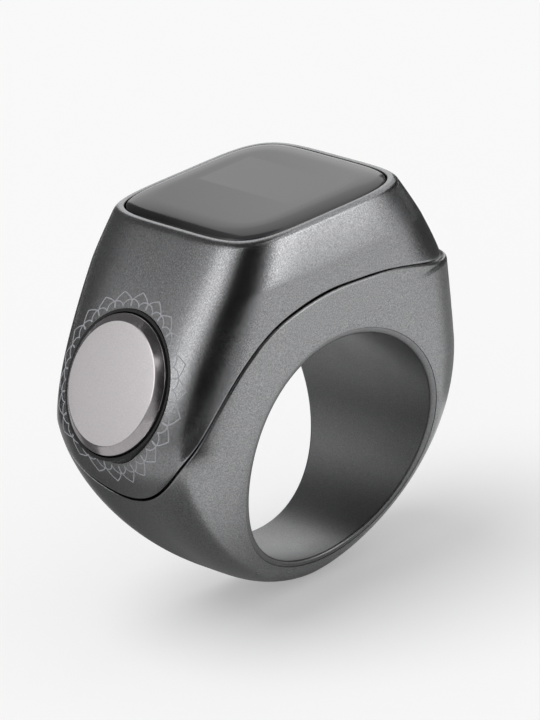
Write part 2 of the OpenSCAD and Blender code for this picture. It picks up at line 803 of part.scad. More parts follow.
// The weight's length, its gap to the can and how much smaller it turns
weight_length = 2.4;
weight_gap = 0.5;
weight_draw = 0.3;
motor_length = -2 * motor_y - weight_gap - weight_length;
module at_motor(y) {
    translate([motor_x, y, motor_z])
        rotate([-90, 0, 0])
            children();
}
module motor_can() {
    color("silver")
        difference() {
            at_motor(motor_y)
                cylinder(h = motor_length, r = motor_d / 2);
            at_motor(motor_y + over)
                cylinder(h = motor_length, r = shaft_d / 2 + rest_gap / 2);
        }
}
module motor_shaft() {
    color("lightgray")
        at_motor(motor_y + over + rest_gap)
            cylinder(h = motor_length + weight_gap + weight_length - over, r = shaft_d / 2);
}
module motor_weight() {
    color("darkgoldenrod")
        at_motor(motor_y + motor_length + weight_gap)
            difference() {
                cylinder(h = weight_length, r = motor_d / 2 - weight_draw);
                cylinder(h = weight_length * 4, r = shaft_d / 2, center = true);
                translate([-motor_d, -shaft_d - motor_d, -over])
                    cube([motor_d * 2, motor_d, weight_length + 2 * over]);
            }
}
cradle_width = 3;
module motor_cradle() {
    color("black")
        difference() {
            translate([motor_x - cradle_width / 2, motor_y + over, 0])
                cube([cradle_width, motor_length - 2 * over, motor_z]);
            rotate([90, 0, 0])
                cylinder(h = half_width * 2, r = floor_r + rest_gap, center = true, $fn = fine);
            at_motor(-half_width)
                cylinder(h = half_width * 2, r = motor_d / 2 + rest_gap / 2);
        }
}

// Case screws, up from under the liner into the tray's posts
screw_head_d = 2;
screw_head_t = 0.6;
screw_length = 4.5;
// Depth of the screws' heads below the tops of the bosses
screw_sink = 1.6;
screw_z = boss_z - screw_sink;
module case_screws() {
    color("silver")
        at_posts(screw_z)
            difference() {
                union() {
                    cylinder(h = screw_head_t, r = screw_head_d / 2);
                    cylinder(h = screw_length, r = screw_d / 2 - rest_gap / 2);
                }
                translate([0, 0, -over])
                    cylinder(h = over + screw_head_t / 2, r = screw_d / 2, $fn = socket_sides);
            }
}

ring_band();
inner_liner();
head_shell();
display_glass();
glass_adhesive();
oled_panel();
display_flex();
display_tray();
main_board();
processor_chip();
board_chips();
flex_connector();
chip_antenna();
battery_cell();
battery_foam();
motor_can();
motor_cradle();
motor_shaft();
motor_weight();
button_cap();
button_stem();
button_bezel();
stem_seal();
stem_clip();
switch_body();
switch_plunger();
switch_board();
switch_flex();
charge_contacts();
contact_holder();
charge_magnets();
case_screws();
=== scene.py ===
"""Looks of a digital tasbih counter worn as a finger ring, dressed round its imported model.

Lengths in this script are written in millimetres and turned into metres by MM where a mesh,
lamp or texture takes them. The bore runs along Y, the display faces +Z and the button is on -X.
"""

import json
import math

import bmesh
import bpy
import numpy as np
from mathutils import Matrix, Vector


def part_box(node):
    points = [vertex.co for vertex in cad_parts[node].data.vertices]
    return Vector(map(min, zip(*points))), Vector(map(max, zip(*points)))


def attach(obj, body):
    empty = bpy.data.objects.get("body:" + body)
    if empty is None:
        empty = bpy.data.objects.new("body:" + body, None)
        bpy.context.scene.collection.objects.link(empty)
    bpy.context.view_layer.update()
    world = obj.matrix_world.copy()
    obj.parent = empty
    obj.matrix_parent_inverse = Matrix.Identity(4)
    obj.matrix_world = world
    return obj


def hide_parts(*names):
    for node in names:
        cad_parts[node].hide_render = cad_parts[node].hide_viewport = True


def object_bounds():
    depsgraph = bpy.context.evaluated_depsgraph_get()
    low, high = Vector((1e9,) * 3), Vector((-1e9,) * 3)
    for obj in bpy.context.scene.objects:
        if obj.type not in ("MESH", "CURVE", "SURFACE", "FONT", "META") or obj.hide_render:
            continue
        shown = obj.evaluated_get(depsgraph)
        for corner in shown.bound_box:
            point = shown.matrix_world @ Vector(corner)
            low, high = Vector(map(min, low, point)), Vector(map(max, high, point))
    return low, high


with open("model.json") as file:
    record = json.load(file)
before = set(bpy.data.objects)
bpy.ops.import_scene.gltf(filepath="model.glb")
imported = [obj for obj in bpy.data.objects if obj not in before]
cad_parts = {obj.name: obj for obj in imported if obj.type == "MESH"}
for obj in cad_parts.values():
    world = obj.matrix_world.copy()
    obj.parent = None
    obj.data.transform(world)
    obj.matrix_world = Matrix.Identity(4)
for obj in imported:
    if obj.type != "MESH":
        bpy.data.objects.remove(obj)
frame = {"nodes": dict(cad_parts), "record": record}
cad_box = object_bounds()
MM = 0.001
TINY = 1e-9


def box_mm(node):
    """Lowest and highest corner of a CAD node, in millimetres."""
    low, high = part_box(node)
    return np.array(low) / MM, np.array(high) / MM


# The body's outline, from the frame where a node shows it
BAND_LOW, BAND_HIGH = box_mm("ring_band")
GLASS_LOW, GLASS_HIGH = box_mm("display_glass")
HALF_WIDTH, HEAD_TOP = box_mm("head_shell")[1][1:]
SOLE = -BAND_LOW[2]
RIGHT_REACH = BAND_HIGH[0]
WAIST_Z = 5.1
LEFT_REACH = 17.12
TOP_LEFT = 7.74
TOP_RIGHT = 10.8
PANEL_BOW = 1.38
FAR_BOW = 1.2
WIDEST_Z = 16.7
TOP_HALF_WIDTH = 9.42
SOLE_HALF_WIDTH = 3.7
CORNER_POWER = 4.85
LEFT_POWER = 1.69
RIGHT_POWER = 1.86
TAPER_POWER = 3.1
CROWN_POWER = 1.2
FRAME_EDGE = 0.35
HEAD_WALL = 0.9
BODY_DROP = SOLE + WAIST_Z
WAIST_MID = (RIGHT_REACH - LEFT_REACH) / 2
WAIST_HALF = (RIGHT_REACH + LEFT_REACH) / 2

# Finger bore: its radius, the liner's outer radius and play, and the rounding at its ends
LINER_R = box_mm("inner_liner")[1][0]
BORE_R = frame["record"]["mounts"][0]["dims"]["r_mm"]
LINER_PLAY = 0.03
SEAT_R = LINER_R + LINER_PLAY
RIM_DEPTH = 0.5
RIM_RUN = 1.5

# Seam between head and band: angles in degrees with shares of its rise over the band's floor,
# then its gap, the rounding of its edges, and the tongue below the button
FLOOR_R = 11.3
SEAM_RISE = 3.2
SEAM_SHARES = [(34, 2.9), (39, 2.4), (45, 1.93), (50, 1.68), (56, 1.48), (64, 1.28), (78, 1.04),
               (90, 1.0), (104, 1.02), (117, 1.1), (131, 1.13), (145, 1.2), (156, 1.32),
               (163, 1.58), (170, 2.2), (174, 2.8)]
SEAM_GAP = 0.16
BAND_EDGE = 0.18
HEAD_EDGE = 0.2
TONGUE_HALF = 8.9
TONGUE_POWER = 1.8
TONGUE_RISE = 8.0
TONGUE_REACH = -14.2
TONGUE_SLOPE = 3

# The seam's angles are used this far past its first and last chosen points; elsewhere the
# height over it counts as far below
SEAM_BEFORE_DEG = 8
SEAM_AFTER_DEG = 4
FAR_BELOW = -9.0

# Step on the far side, where the band's lip ends a little under the head's step
LIP_Z = 12.25
LIP_STEP = 0.62
LIP_ROUND = 0.35
LIP_DROP = 0.1

# Button: centre of the bezel's face, tilt of its axis, radii and heights
BUTTON_Z = 9.64
BUTTON_TILT_DEG = 28.5
CAP_R = 5.78
FACE_R = 5.1
CAP_SIDE = 0.2
CAP_RISE = 0.92
FACE_DOME = 0.22
CAP_SKIRT = 0.7
CAP_WALL = 1
CAP_TOP = 0.9
CAP_ROUND = 0.1
CAP_SIDES = 192
DOME_STEPS = 5
BEZEL_R = 6.17
BEZEL_SINK_SHARE = 0.25

# Camera, first: fitted to the photograph
CAMERA_AZIMUTH = -38.0676
CAMERA_ELEVATION = 21.9322
CAMERA_ROLL = -8.2402
CAMERA_SHIFT_MM = (0.3821, -5.6575)
CAMERA_DISTANCE_MM = 515.6884
CAMERA_FOCAL_PX = 6305.95
PHOTO_HEIGHT_PX = 720
SENSOR_MM = 36.0
CLIP_M = (0.01, 10)


def make_camera():
    azimuth = math.radians(CAMERA_AZIMUTH)
    elevation = math.radians(CAMERA_ELEVATION)
    roll = math.radians(CAMERA_ROLL)
    back = Vector((math.sin(azimuth) * math.cos(elevation),
                   -math.cos(azimuth) * math.cos(elevation), math.sin(elevation)))
    right = (-back).cross(Vector((0, 0, 1))).normalized()
    up = right.cross(-back).normalized()
    rolled_right = right * math.cos(roll) + up * math.sin(roll)
    rolled_up = up * math.cos(roll) - right * math.sin(roll)
    shift_x, shift_y = CAMERA_SHIFT_MM
    place = (back * CAMERA_DISTANCE_MM - rolled_right * shift_x - rolled_up * shift_y) * MM
    data = bpy.data.cameras.new("photo_camera")
    data.sensor_fit = "VERTICAL"
    data.sensor_width = SENSOR_MM
    data.sensor_height = SENSOR_MM
    data.lens = CAMERA_FOCAL_PX * SENSOR_MM / PHOTO_HEIGHT_PX
    data.clip_start, data.clip_end = CLIP_M
    camera = bpy.data.objects.new("photo_camera", data)
    bpy.context.scene.collection.objects.link(camera)
    camera.matrix_world = Matrix((
        (rolled_right.x, rolled_up.x, back.x, place.x),
        (rolled_right.y, rolled_up.y, back.y, place.y),
        (rolled_right.z, rolled_up.z, back.z, place.z),
        (0, 0, 0, 1)))
    bpy.context.scene.camera = camera


# Outline of the body, the same rules as its construction follows
def power0(value, exponent):
    return np.power(np.maximum(value, 0), exponent)


def blend(a, b, share):
    return a + (b - a) * share


def drop(z, inset=0.0):
    return np.maximum(0, (WAIST_Z - z) / (BODY_DROP - inset))


def left_x(z):
    share = np.maximum(0, (z - WAIST_Z) / (HEAD_TOP - WAIST_Z))
    return LEFT_REACH - (LEFT_REACH - TOP_LEFT) * power0(share, PANEL_BOW)


def head_right_x(z):
    foot = RIGHT_REACH - LIP_STEP
    return foot - (foot - TOP_RIGHT) * power0((z - LIP_Z) / (HEAD_TOP - LIP_Z), FAR_BOW)


def band_right_x(z):
    """The band's far side is upright, and rounds inward at its lip."""
    over = np.clip(z - (LIP_Z - LIP_DROP - LIP_ROUND), 0, LIP_ROUND)
    return RIGHT_REACH - LIP_ROUND + np.sqrt(np.maximum(LIP_ROUND ** 2 - over ** 2, 0))


def right_x(z, band):
    return band_right_x(z) if band else head_right_x(z)


def middle(z, band):
    return np.where(z >= WAIST_Z, (right_x(z, band) - left_x(z)) / 2, WAIST_MID * (1 - drop(z)))


def half_length(z, side, band):
    return np.where(z >= WAIST_Z, (right_x(z, band) + left_x(z)) / 2,
                    WAIST_HALF + side * WAIST_MID * drop(z))


def half_y(z):
    below = blend(HALF_WIDTH, SOLE_HALF_WIDTH,
                  power0((WIDEST_Z - z) / (WIDEST_Z + SOLE), TAPER_POWER))
    above = blend(HALF_WIDTH, TOP_HALF_WIDTH,
                  power0((z - WIDEST_Z) / (HEAD_TOP - WIDEST_Z), CROWN_POWER))
    return np.where(z < WIDEST_Z, below, above)


def side_power(side):
    return np.where(side < 0, LEFT_POWER, RIGHT_POWER)


def gauge(x, z, band):
    """How far out a point lies, seen along Y: 1 on the outline."""
    side = np.where(x - middle(z, band) < 0, -1.0, 1.0)
    m = side_power(side)
    across = np.abs(x - middle(z, band)) / half_length(z, side, band)
    return power0(power0(across, m) + power0(drop(z), m), 1 / m)


def width_at(x, z, band=True):
    g = gauge(x, z, band)
    return power0(1 - power0(g, CORNER_POWER), 1 / CORNER_POWER) * half_y(z)


def level_point(t, z, inset=0.0):
    """Points of the head's level section at height z, in directions t round the vertical."""
    z = z + np.zeros(t.shape)
    n = CORNER_POWER
    k = drop(z, inset)
    side = np.where(np.cos(t) < 0, -1.0, 1.0)
    m = side_power(side)
    r = power0(power0(np.abs(np.cos(t)), n) + power0(np.abs(np.sin(t)), n), -1 / n)
    q = np.abs(r * np.sin(t)) * power0(1 - power0(k, n), 1 / n)
    x = power0(power0(1 - power0(q, n), m / n) - power0(k, m), 1 / m)
    return np.stack([middle(z, False) + side * x * (half_length(z, side, False) - inset),
                     np.sign(np.sin(t)) * q * (half_y(z) - inset), z], axis=-1)


HALVINGS = 44


def halve(crosses, low, high):
    """Where crosses turns true between low and high, for whole arrays at once."""
    for _ in range(HALVINGS):
        mid = (low + high) / 2
        is_over = crosses(mid)
        high = np.where(is_over, mid, high)
        low = np.where(is_over, low, mid)
    return (low + high) / 2


# Seam between the head and the band
SEAM_LINE_STEPS = 8


def seam_line():
    """The seam seen along Y, as angles and radii, smooth through its chosen points."""
    angles, radii = [], []
    for i in range(1, len(SEAM_SHARES) - 2):
        p0, p1, p2, p3 = (np.array(SEAM_SHARES[i + k]) for k in (-1, 0, 1, 2))
        for t in np.linspace(0, 1, SEAM_LINE_STEPS, endpoint=False):
            p = 0.5 * (2 * p1 + (p2 - p0) * t + (2 * p0 - 5 * p1 + 4 * p2 - p3) * t ** 2
                       + (3 * p1 - p0 - 3 * p2 + p3) * t ** 3)
            angles.append(p[0])
            radii.append(FLOOR_R + SEAM_RISE * p[1])
    return np.array(angles), np.array(radii)


SEAM_ANGLES, SEAM_RADII = seam_line()


def tongue_z(y):
    share = np.minimum(np.abs(y) / TONGUE_HALF, 1)
    return TONGUE_RISE * (1 - power0(1 - power0(share, TONGUE_POWER), 1 / TONGUE_POWER))


def over_seam(p):
    """How far a surface point lies on the head's side of the seam."""
    angle = np.degrees(np.arctan2(p[..., 2], p[..., 0]))
    is_known = ((angle > SEAM_ANGLES[0] - SEAM_BEFORE_DEG)
                & (angle < SEAM_ANGLES[-1] + SEAM_AFTER_DEG))
    radius = np.interp(angle, SEAM_ANGLES, SEAM_RADII)
    by_seam = np.where(is_known, np.hypot(p[..., 0], p[..., 2]) - radius, FAR_BELOW)
    by_tongue = np.minimum(p[..., 2] - tongue_z(p[..., 1]),
                           (TONGUE_REACH - p[..., 0]) * TONGUE_SLOPE)
    return np.maximum(by_seam, by_tongue)


def directions(count):
    """Even directions round the vertical."""
    return (np.arange(count) + 0.5) * 2 * math.pi / count


# Directions in which the seam's height is worked out, their smoothing, and the heights searched
SEAM_STATIONS = 720
SEAM_SMOOTHING = 5
SEAM_LOWEST = -1.0
SEAM_HIGHEST = 15.0


def seam_heights():
    t = directions(SEAM_STATIONS)
    z = halve(lambda h: over_seam(level_point(t, h)) > 0, np.full(t.shape, SEAM_LOWEST),
              np.full(t.shape, SEAM_HIGHEST))
    reach = np.arange(-3 * SEAM_SMOOTHING, 3 * SEAM_SMOOTHING + 1)
    weights = np.exp(-0.5 * (reach / SEAM_SMOOTHING) ** 2)
    weights /= weights.sum()
    smooth = sum(w * np.roll(z, s) for w, s in zip(weights, reach))
    return t, smooth


SEAM_T, SEAM_Z = seam_heights()


def seam_z(t):
    return np.interp(np.mod(t, 2 * math.pi), SEAM_T, SEAM_Z, period=2 * math.pi)


def direction_of(y, z, side):
    """Direction round the vertical of a surface point, from its place along Y and its height."""
    n = CORNER_POWER
    q = np.clip(np.abs(y) / (half_y(z) * power0(1 - power0(drop(z), n), 1 / n) + TINY), 0, 1)
    along = power0(1 - power0(q, n), 1 / n)
    return np.arctan2(np.sign(y) * q, side * along)


# Meshes: points nearer than the first are merged, and thinner slivers are taken out
MERGE_MM = 0.0004
SLIVER_MM = 0.0002


def grid_faces(rows, count, rows_wrap):
    """Faces between rows of points, where each row is closed."""
    faces = []
    for j in range(rows if rows_wrap else rows - 1):
        a, b = j * count, (j + 1) % rows * count
        for i in range(count):
            k = (i + 1) % count
            faces.append((a + i, a + k, b + k, b + i))
    return faces


def mesh_piece(name, points_mm, faces, sharp_deg=50.0):
    """A mesh object from points in millimetres, merged, facing outward and shaded smooth."""
    mesh = bpy.data.meshes.new(name)
    mesh.from_pydata([tuple(p) for p in np.asarray(points_mm, float) * MM], [], faces)
    piece = bpy.data.objects.new(name, mesh)
    bpy.context.scene.collection.objects.link(piece)
    clean(piece, sharp_deg)
    return piece


def clean(piece, sharp_deg=50.0):
    """Merges close points, turns faces outward and shades smooth up to the sharp angle."""
    shape = bmesh.new()
    shape.from_mesh(piece.data)
    bmesh.ops.remove_doubles(shape, verts=shape.verts, dist=MERGE_MM * MM)
    bmesh.ops.dissolve_degenerate(shape, edges=shape.edges, dist=SLIVER_MM * MM)
    bmesh.ops.recalc_face_normals(shape, faces=shape.faces)
    for face in shape.faces:
        face.smooth = True
    sharp = math.radians(sharp_deg)
    for edge in shape.edges:
        edge.smooth = len(edge.link_faces) == 2 and edge.calc_face_angle(0) < sharp
    shape.to_mesh(piece.data)
    shape.free()


def baked(piece):
    """The piece with its modifiers made into plain mesh."""
    graph = bpy.context.evaluated_depsgraph_get()
    graph.update()
    mesh = bpy.data.meshes.new_from_object(piece.evaluated_get(graph))
    piece.modifiers.clear()
    piece.data = mesh
    return piece


def button_matrix():
    """From the button's own frame, +Z outward from the bezel's face, to the row frame, in mm."""
    face_x = BEZEL_SINK_SHARE * CAP_RISE - float(left_x(np.array(BUTTON_Z)))
    return (Matrix.Translation((face_x, 0, BUTTON_Z))
            @ Matrix.Rotation(math.radians(BUTTON_TILT_DEG - 90), 4, "Y"))


def turned(profile, count):
    """Points of a profile of radius and height, turned round the button's axis."""
    place = button_matrix()
    points = []
    for radius, height in profile:
        for i in range(count):
            a = 2 * math.pi * i / count
            points.append(place @ Vector((radius * math.cos(a), radius * math.sin(a), height)))
    return points


ROUND_STEPS = 4
ROUND_MOST = 0.45


def rounded(profile, radius):
    """A profile with its corners rounded; a corner is given as (r, z, share of the radius)."""
    out = []
    for i, (r, z, share) in enumerate(profile):
        if share <= 0 or i in (0, len(profile) - 1):
            out.append((r, z))
            continue
        here = np.array((r, z))
        before = np.array(profile[i - 1][:2]) - here
        after = np.array(profile[i + 1][:2]) - here
        reach = min(radius * share, ROUND_MOST * np.linalg.norm(before),
                    ROUND_MOST * np.linalg.norm(after))
        start = here + before / np.linalg.norm(before) * reach
        end = here + after / np.linalg.norm(after) * reach
        for k in range(ROUND_STEPS + 1):
            t = k / ROUND_STEPS
            out.append(tuple((1 - t) ** 2 * start + 2 * t * (1 - t) * here + t ** 2 * end))
    return out


# Head shell: rows run from the seam up the outside, over the frame, down the window and back
HEAD_STATIONS = 360
HEAD_ROWS = 56
EDGE_STEPS = 5
INNER_ROWS = 14

# Display window: its play round the glass, the edge into it, its depth and its corners
WINDOW_PLAY = 0.1
WINDOW_EDGE = 0.06
WINDOW_EDGE_MID = 0.3
WINDOW_DEPTH = 1.2
WINDOW_POWER = 5
GLASS_MID_X = (GLASS_HIGH[0] + GLASS_LOW[0]) / 2
GLASS_HALF_X = (GLASS_HIGH[0] - GLASS_LOW[0]) / 2


def window_ring(t, grow, z):
    """A ring of the glass's outline, grown outward, at height z."""
    n = WINDOW_POWER
    r = power0(power0(np.abs(np.cos(t)), n) + power0(np.abs(np.sin(t)), n), -1 / n)
    return np.stack([GLASS_MID_X + (GLASS_HALF_X + grow) * r * np.cos(t),
                     (GLASS_HIGH[1] + grow) * r * np.sin(t), np.full(t.shape, z)], axis=-1)


def head_shell():
    t = directions(HEAD_STATIONS)
    foot = seam_z(t) + SEAM_GAP / 2
    roof = HEAD_TOP - FRAME_EDGE
    # Inner edge of the foot, then its rounded outer edge
    rows = [level_point(t, foot, HEAD_WALL)]
    for a in np.linspace(0, math.pi / 2, EDGE_STEPS):
        rows.append(level_point(t, foot + HEAD_EDGE * (1 - math.cos(a)),
                                HEAD_EDGE * (1 - math.sin(a))))
    for s in np.linspace(0, 1, HEAD_ROWS)[1:]:
        rows.append(level_point(t, blend(foot + HEAD_EDGE, roof, s)))
    for i in range(1, EDGE_STEPS + 1):
        a = math.pi / 2 * i / EDGE_STEPS
        rows.append(level_point(t, roof + FRAME_EDGE * math.sin(a),
                                FRAME_EDGE * (1 - math.cos(a))))
    # Flat frame, a small edge into the window, and the window's wall
    middle_edge = WINDOW_EDGE * WINDOW_EDGE_MID
    for grow, depth in ((WINDOW_PLAY + WINDOW_EDGE, 0.0), (WINDOW_PLAY + middle_edge, middle_edge),
                        (WINDOW_PLAY, WINDOW_EDGE), (WINDOW_PLAY, WINDOW_DEPTH)):
        rows.append(window_ring(t, grow, HEAD_TOP - depth))
    under = HEAD_TOP - WINDOW_DEPTH
    for s in np.linspace(0, 1, INNER_ROWS)[:-1]:
        rows.append(level_point(t, blend(under, foot, s), HEAD_WALL))
    return mesh_piece("head_shell_finish", np.concatenate(rows),
                      grid_faces(len(rows), HEAD_STATIONS, True))


# Button's hole: play round the bezel, reach of the cutter over and under the panel, and its sides
HOLE_PLAY = 0.04
HOLE_OVER = 4
HOLE_UNDER = 3.2
HOLE_SIDES = 160


def cut_round_hole(piece):
    """Cuts the button's hole through a shell."""
    radius = BEZEL_R + HOLE_PLAY
    ends = [tuple(range(HOLE_SIDES)), tuple(range(2 * HOLE_SIDES - 1, HOLE_SIDES - 1, -1))]
    hole = mesh_piece("hole_cutter",
                      turned([(radius, HOLE_OVER), (radius, -HOLE_UNDER)], HOLE_SIDES),
                      grid_faces(2, HOLE_SIDES, False) + ends)
    cut = piece.modifiers.new("hole", "BOOLEAN")
    cut.operation = "DIFFERENCE"
    cut.solver = "EXACT"
    cut.object = hole
    baked(piece)
    bpy.data.objects.remove(hole)
    clean(piece)
    return piece


# Band: sections round the bore axis, and how its wall stands at the seam. An edge or a wall
# takes at most a share of the half width there is
BAND_STATIONS = 300
FLANK_ROWS = 44
FLANK_EASE = 0.6
EDGE_ROWS = 5
EDGE_MOST = 0.8
WALL_DEPTH = 0.9
WALL_MOST = 0.95
POCKET_LEAST_HALF = 1.0
POCKET_REACH = 14.0

# Where a section is searched: farthest radius, a height over the whole seam, and point counts
FARTHEST_R = 26.0
SEAM_CEILING = 15.5
CEILING_SINE = 0.3
START_SHARE = 0.98
CREST_POINTS = 260
FLANK_POINTS = 200
NEAR_REACH = 1e-6

# Extra sections where the crest passes the seam: angles between which it does so, in degrees,
# and their steps away from it, close at first
FOOT_BETWEEN = (170, 188)
LIP_BETWEEN = (30, 44)
CROSSING_HALVINGS = 26
NEXT_DEG = 0.002
SPREAD_DEG = 3.0
SPREAD_STEPS = 36
SPREAD_POWER = 1.6


def rim_draw(r):
    """How far the rounding at the bore's ends draws a point in, by its radius."""
    share = np.clip((r - BORE_R) / RIM_RUN, 0, 1)
    return RIM_DEPTH * (1 - np.sqrt(1 - (1 - share) ** 2))


def section(angle, r0):
    """Many points from the bore outward to the crest at one angle round the bore, as (r, y)."""
    c, s = math.cos(angle), math.sin(angle)
    n = CORNER_POWER
    reach = min(FARTHEST_R, SEAM_CEILING / s) if s > CEILING_SINE else FARTHEST_R
    g0 = float(gauge(np.array(r0 * c), np.array(r0 * s), True))
    start = math.atan2(g0, (1 - g0 ** n) ** (1 / n))
    turn = np.linspace(start, math.pi / 2, CREST_POINTS)
    scale = power0(power0(np.abs(np.sin(turn)), n) + power0(np.abs(np.cos(turn)), n), -1 / n)
    g, w = np.sin(turn) * scale, np.maximum(np.cos(turn), 0) * scale
    r = halve(lambda v: gauge(v * c, v * s, True) > g, np.full(g.shape, r0 * START_SHARE),
              np.full(g.shape, reach))
    there = r < reach - NEAR_REACH
    there[0] = True
    r[0] = r0
    crest_r, crest_y = r[there], (w * half_y(r * s))[there]
    if there[-1]:
        crest_y[-1] = 0
        flank_r = np.linspace(r0, crest_r[-1], FLANK_POINTS)[1:-1]
    else:
        flank_r = np.linspace(r0, reach, FLANK_POINTS)[1:]
    flank_y = width_at(flank_r * c, flank_r * s)
    r, y = np.concatenate([crest_r, flank_r]), np.concatenate([crest_y, flank_y])
    order = np.lexsort((-y, r))
    r, y = r[order], y[order]
    return r, np.maximum(y - rim_draw(r), 0)


def past_seam(angle, r, y):
    """How far a section's points lie over the band's edge; positive is the head's side."""
    x, z = r * math.cos(angle), r * math.sin(angle)
    side = np.where(x - middle(z, True) < 0, -1.0, 1.0)
    return z - seam_z(direction_of(y, z, side)) + SEAM_GAP / 2


def crest_past(deg):
    r, y = section(math.radians(deg), SEAT_R)
    return bool(past_seam(math.radians(deg), r[-1:], y[-1:])[0] > 0)


def crest_crossing(low_deg, high_deg):
    """Angle between two others at which the crest passes the seam."""
    low_past = crest_past(low_deg)
    for _ in range(CROSSING_HALVINGS):
        mid = (low_deg + high_deg) / 2
        if crest_past(mid) == low_past:
            low_deg = mid
        else:
            high_deg = mid
    return (low_deg + high_deg) / 2


def band_row(angle):
    """One closed section of the band, as points from the bore outward, across and back."""
    r, y = section(angle, SEAT_R)
    past = past_seam(angle, r, y)
    is_cut = bool(past[-1] > 0)
    if is_cut:
        last = int(np.argmax(past > 0))
        share = past[last - 1] / (past[last - 1] - past[last])
        r = np.append(r[:last], blend(r[last - 1], r[last], share))
        y = np.append(y[:last], blend(y[last - 1], y[last], share))
    length = np.concatenate([[0], np.cumsum(np.hypot(np.diff(r), np.diff(y)))])
    edge = min(BAND_EDGE, EDGE_MOST * y[-1]) if is_cut else 0.0
    eased = 0.5 - 0.5 * np.cos(np.linspace(0, math.pi, FLANK_ROWS))
    shares = FLANK_EASE * eased + (1 - FLANK_EASE) * np.linspace(0, 1, FLANK_ROWS)
    at = shares * (length[-1] - edge)
    rows = [(np.interp(a, length, r), np.interp(a, length, y)) for a in at]
    end = np.array((r[-1], y[-1]))
    if is_cut:
        along = end - np.array(rows[-1])
        along /= max(np.linalg.norm(along), TINY)
        inward = np.array((along[1], -along[0]))
        if inward[1] > 0 and abs(inward[1]) > abs(inward[0]):
            inward = -inward
        if abs(inward[0]) >= abs(inward[1]) and inward[0] > 0:
            inward = -inward
        for a in np.linspace(0, math.pi / 2, EDGE_ROWS + 1)[1:]:
            rows.append(tuple(end - along * edge * (1 - math.sin(a))
                              + inward * edge * (1 - math.cos(a))))
        is_lip = r[-1] * math.cos(angle) > RIGHT_REACH - LIP_STEP + SEAM_GAP
        depth = edge if is_lip else min(WALL_DEPTH, WALL_MOST * y[-1] + edge)
        foot = end + inward * depth
        foot_y = max(foot[1], 0)
        is_open = r[-1] * math.cos(angle) < POCKET_REACH and foot_y > POCKET_LEAST_HALF
        rows.append((foot[0], foot_y))
        rows.append((min(foot[0], FLOOR_R) if is_open else foot[0], foot_y))
    else:
        rows += [tuple(end)] * (EDGE_ROWS + 2)
    loop = rows + [(a, -b) for a, b in reversed(rows)]
    return [(a * math.cos(angle), b, a * math.sin(angle)) for a, b in loop]


def from_loops(name, loops):
    """A piece from closed sections round the bore."""
    points = [p for loop in loops for p in loop]
    return mesh_piece(name, points, grid_faces(len(loops), len(loops[0]), True))


def ring_band():
    foot_deg = crest_crossing(*FOOT_BETWEEN)
    lip_deg = crest_crossing(*LIP_BETWEEN)
    angles = set(np.arange(BAND_STATIONS) * 360.0 / BAND_STATIONS)
    for k in range(SPREAD_STEPS + 1):
        away = NEXT_DEG + SPREAD_DEG * (k / SPREAD_STEPS) ** SPREAD_POWER
        angles |= {foot_deg - away, lip_deg + away}
    angles |= {foot_deg + NEXT_DEG, lip_deg - NEXT_DEG}
    return from_loops("ring_band_finish", [band_row(math.radians(a)) for a in sorted(angles)])


# Inner liner: a tube whose ends carry on the rounding of the band's rim. Its rows at the end,
# then how far below the end the rows on its outside and in the bore lie
LINER_RIM_ROWS = 7
LINER_OUTSIDE = (0.25, 0.03)
LINER_INSIDE = (0.12, 1.0)


def inner_liner():
    loops = []
    for angle in np.arange(BAND_STATIONS) * 2 * math.pi / BAND_STATIONS:
        c, s = math.cos(angle), math.sin(angle)
        rim = [(r, float(width_at(np.array(r * c), np.array(r * s))) - float(rim_draw(r)))
               for r in np.linspace(LINER_R, BORE_R, LINER_RIM_ROWS)]
        rim = [(LINER_R, rim[0][1] - down) for down in LINER_OUTSIDE] + rim[1:]
        rim += [(BORE_R, rim[-1][1] - down) for down in LINER_INSIDE]
        loop = rim + [(a, -b) for a, b in reversed(rim)]
        loops.append([(a * c, b, a * s) for a, b in loop])
    return from_loops("inner_liner_finish", loops)


# Display glass: its upright side ends a little under the frame, and a rounding goes up to the top
GLASS_SIDES = 256
GLASS_FOOT_EDGE = 0.04
GLASS_SIDE_DROP = 0.12
GLASS_ROUND = 2.3
GLASS_ROUND_STEPS = 14
GLASS_TOP_SHARES = (0.75, 0.5, 0.25)
GLASS_SHARP_DEG = 60


def display_glass():
    t = directions(GLASS_SIDES)
    side_top = HEAD_TOP - GLASS_SIDE_DROP
    rings = [(GLASS_FOOT_EDGE, GLASS_LOW[2]), (0.0, GLASS_LOW[2] + GLASS_FOOT_EDGE),
             (0.0, side_top)]
    for i in range(1, GLASS_ROUND_STEPS + 1):
        a = math.pi / 2 * i / GLASS_ROUND_STEPS
        rings.append((GLASS_ROUND * (1 - math.cos(a)),
                      side_top + (GLASS_HIGH[2] - side_top) * math.sin(a)))
    rows = [window_ring(t, -inset, z) for inset, z in rings]
    x, y, z = rows[-1].T
    for share in GLASS_TOP_SHARES:
        rows.append(np.stack([GLASS_MID_X + (x - GLASS_MID_X) * share, y * share, z], axis=-1))
    last = (len(rows) - 1) * GLASS_SIDES
    faces = grid_faces(len(rows), GLASS_SIDES, False)
    faces += [tuple(range(GLASS_SIDES - 1, -1, -1)), tuple(last + i for i in range(GLASS_SIDES))]
    return mesh_piece("display_glass_finish", np.concatenate(rows), faces, GLASS_SHARP_DEG)


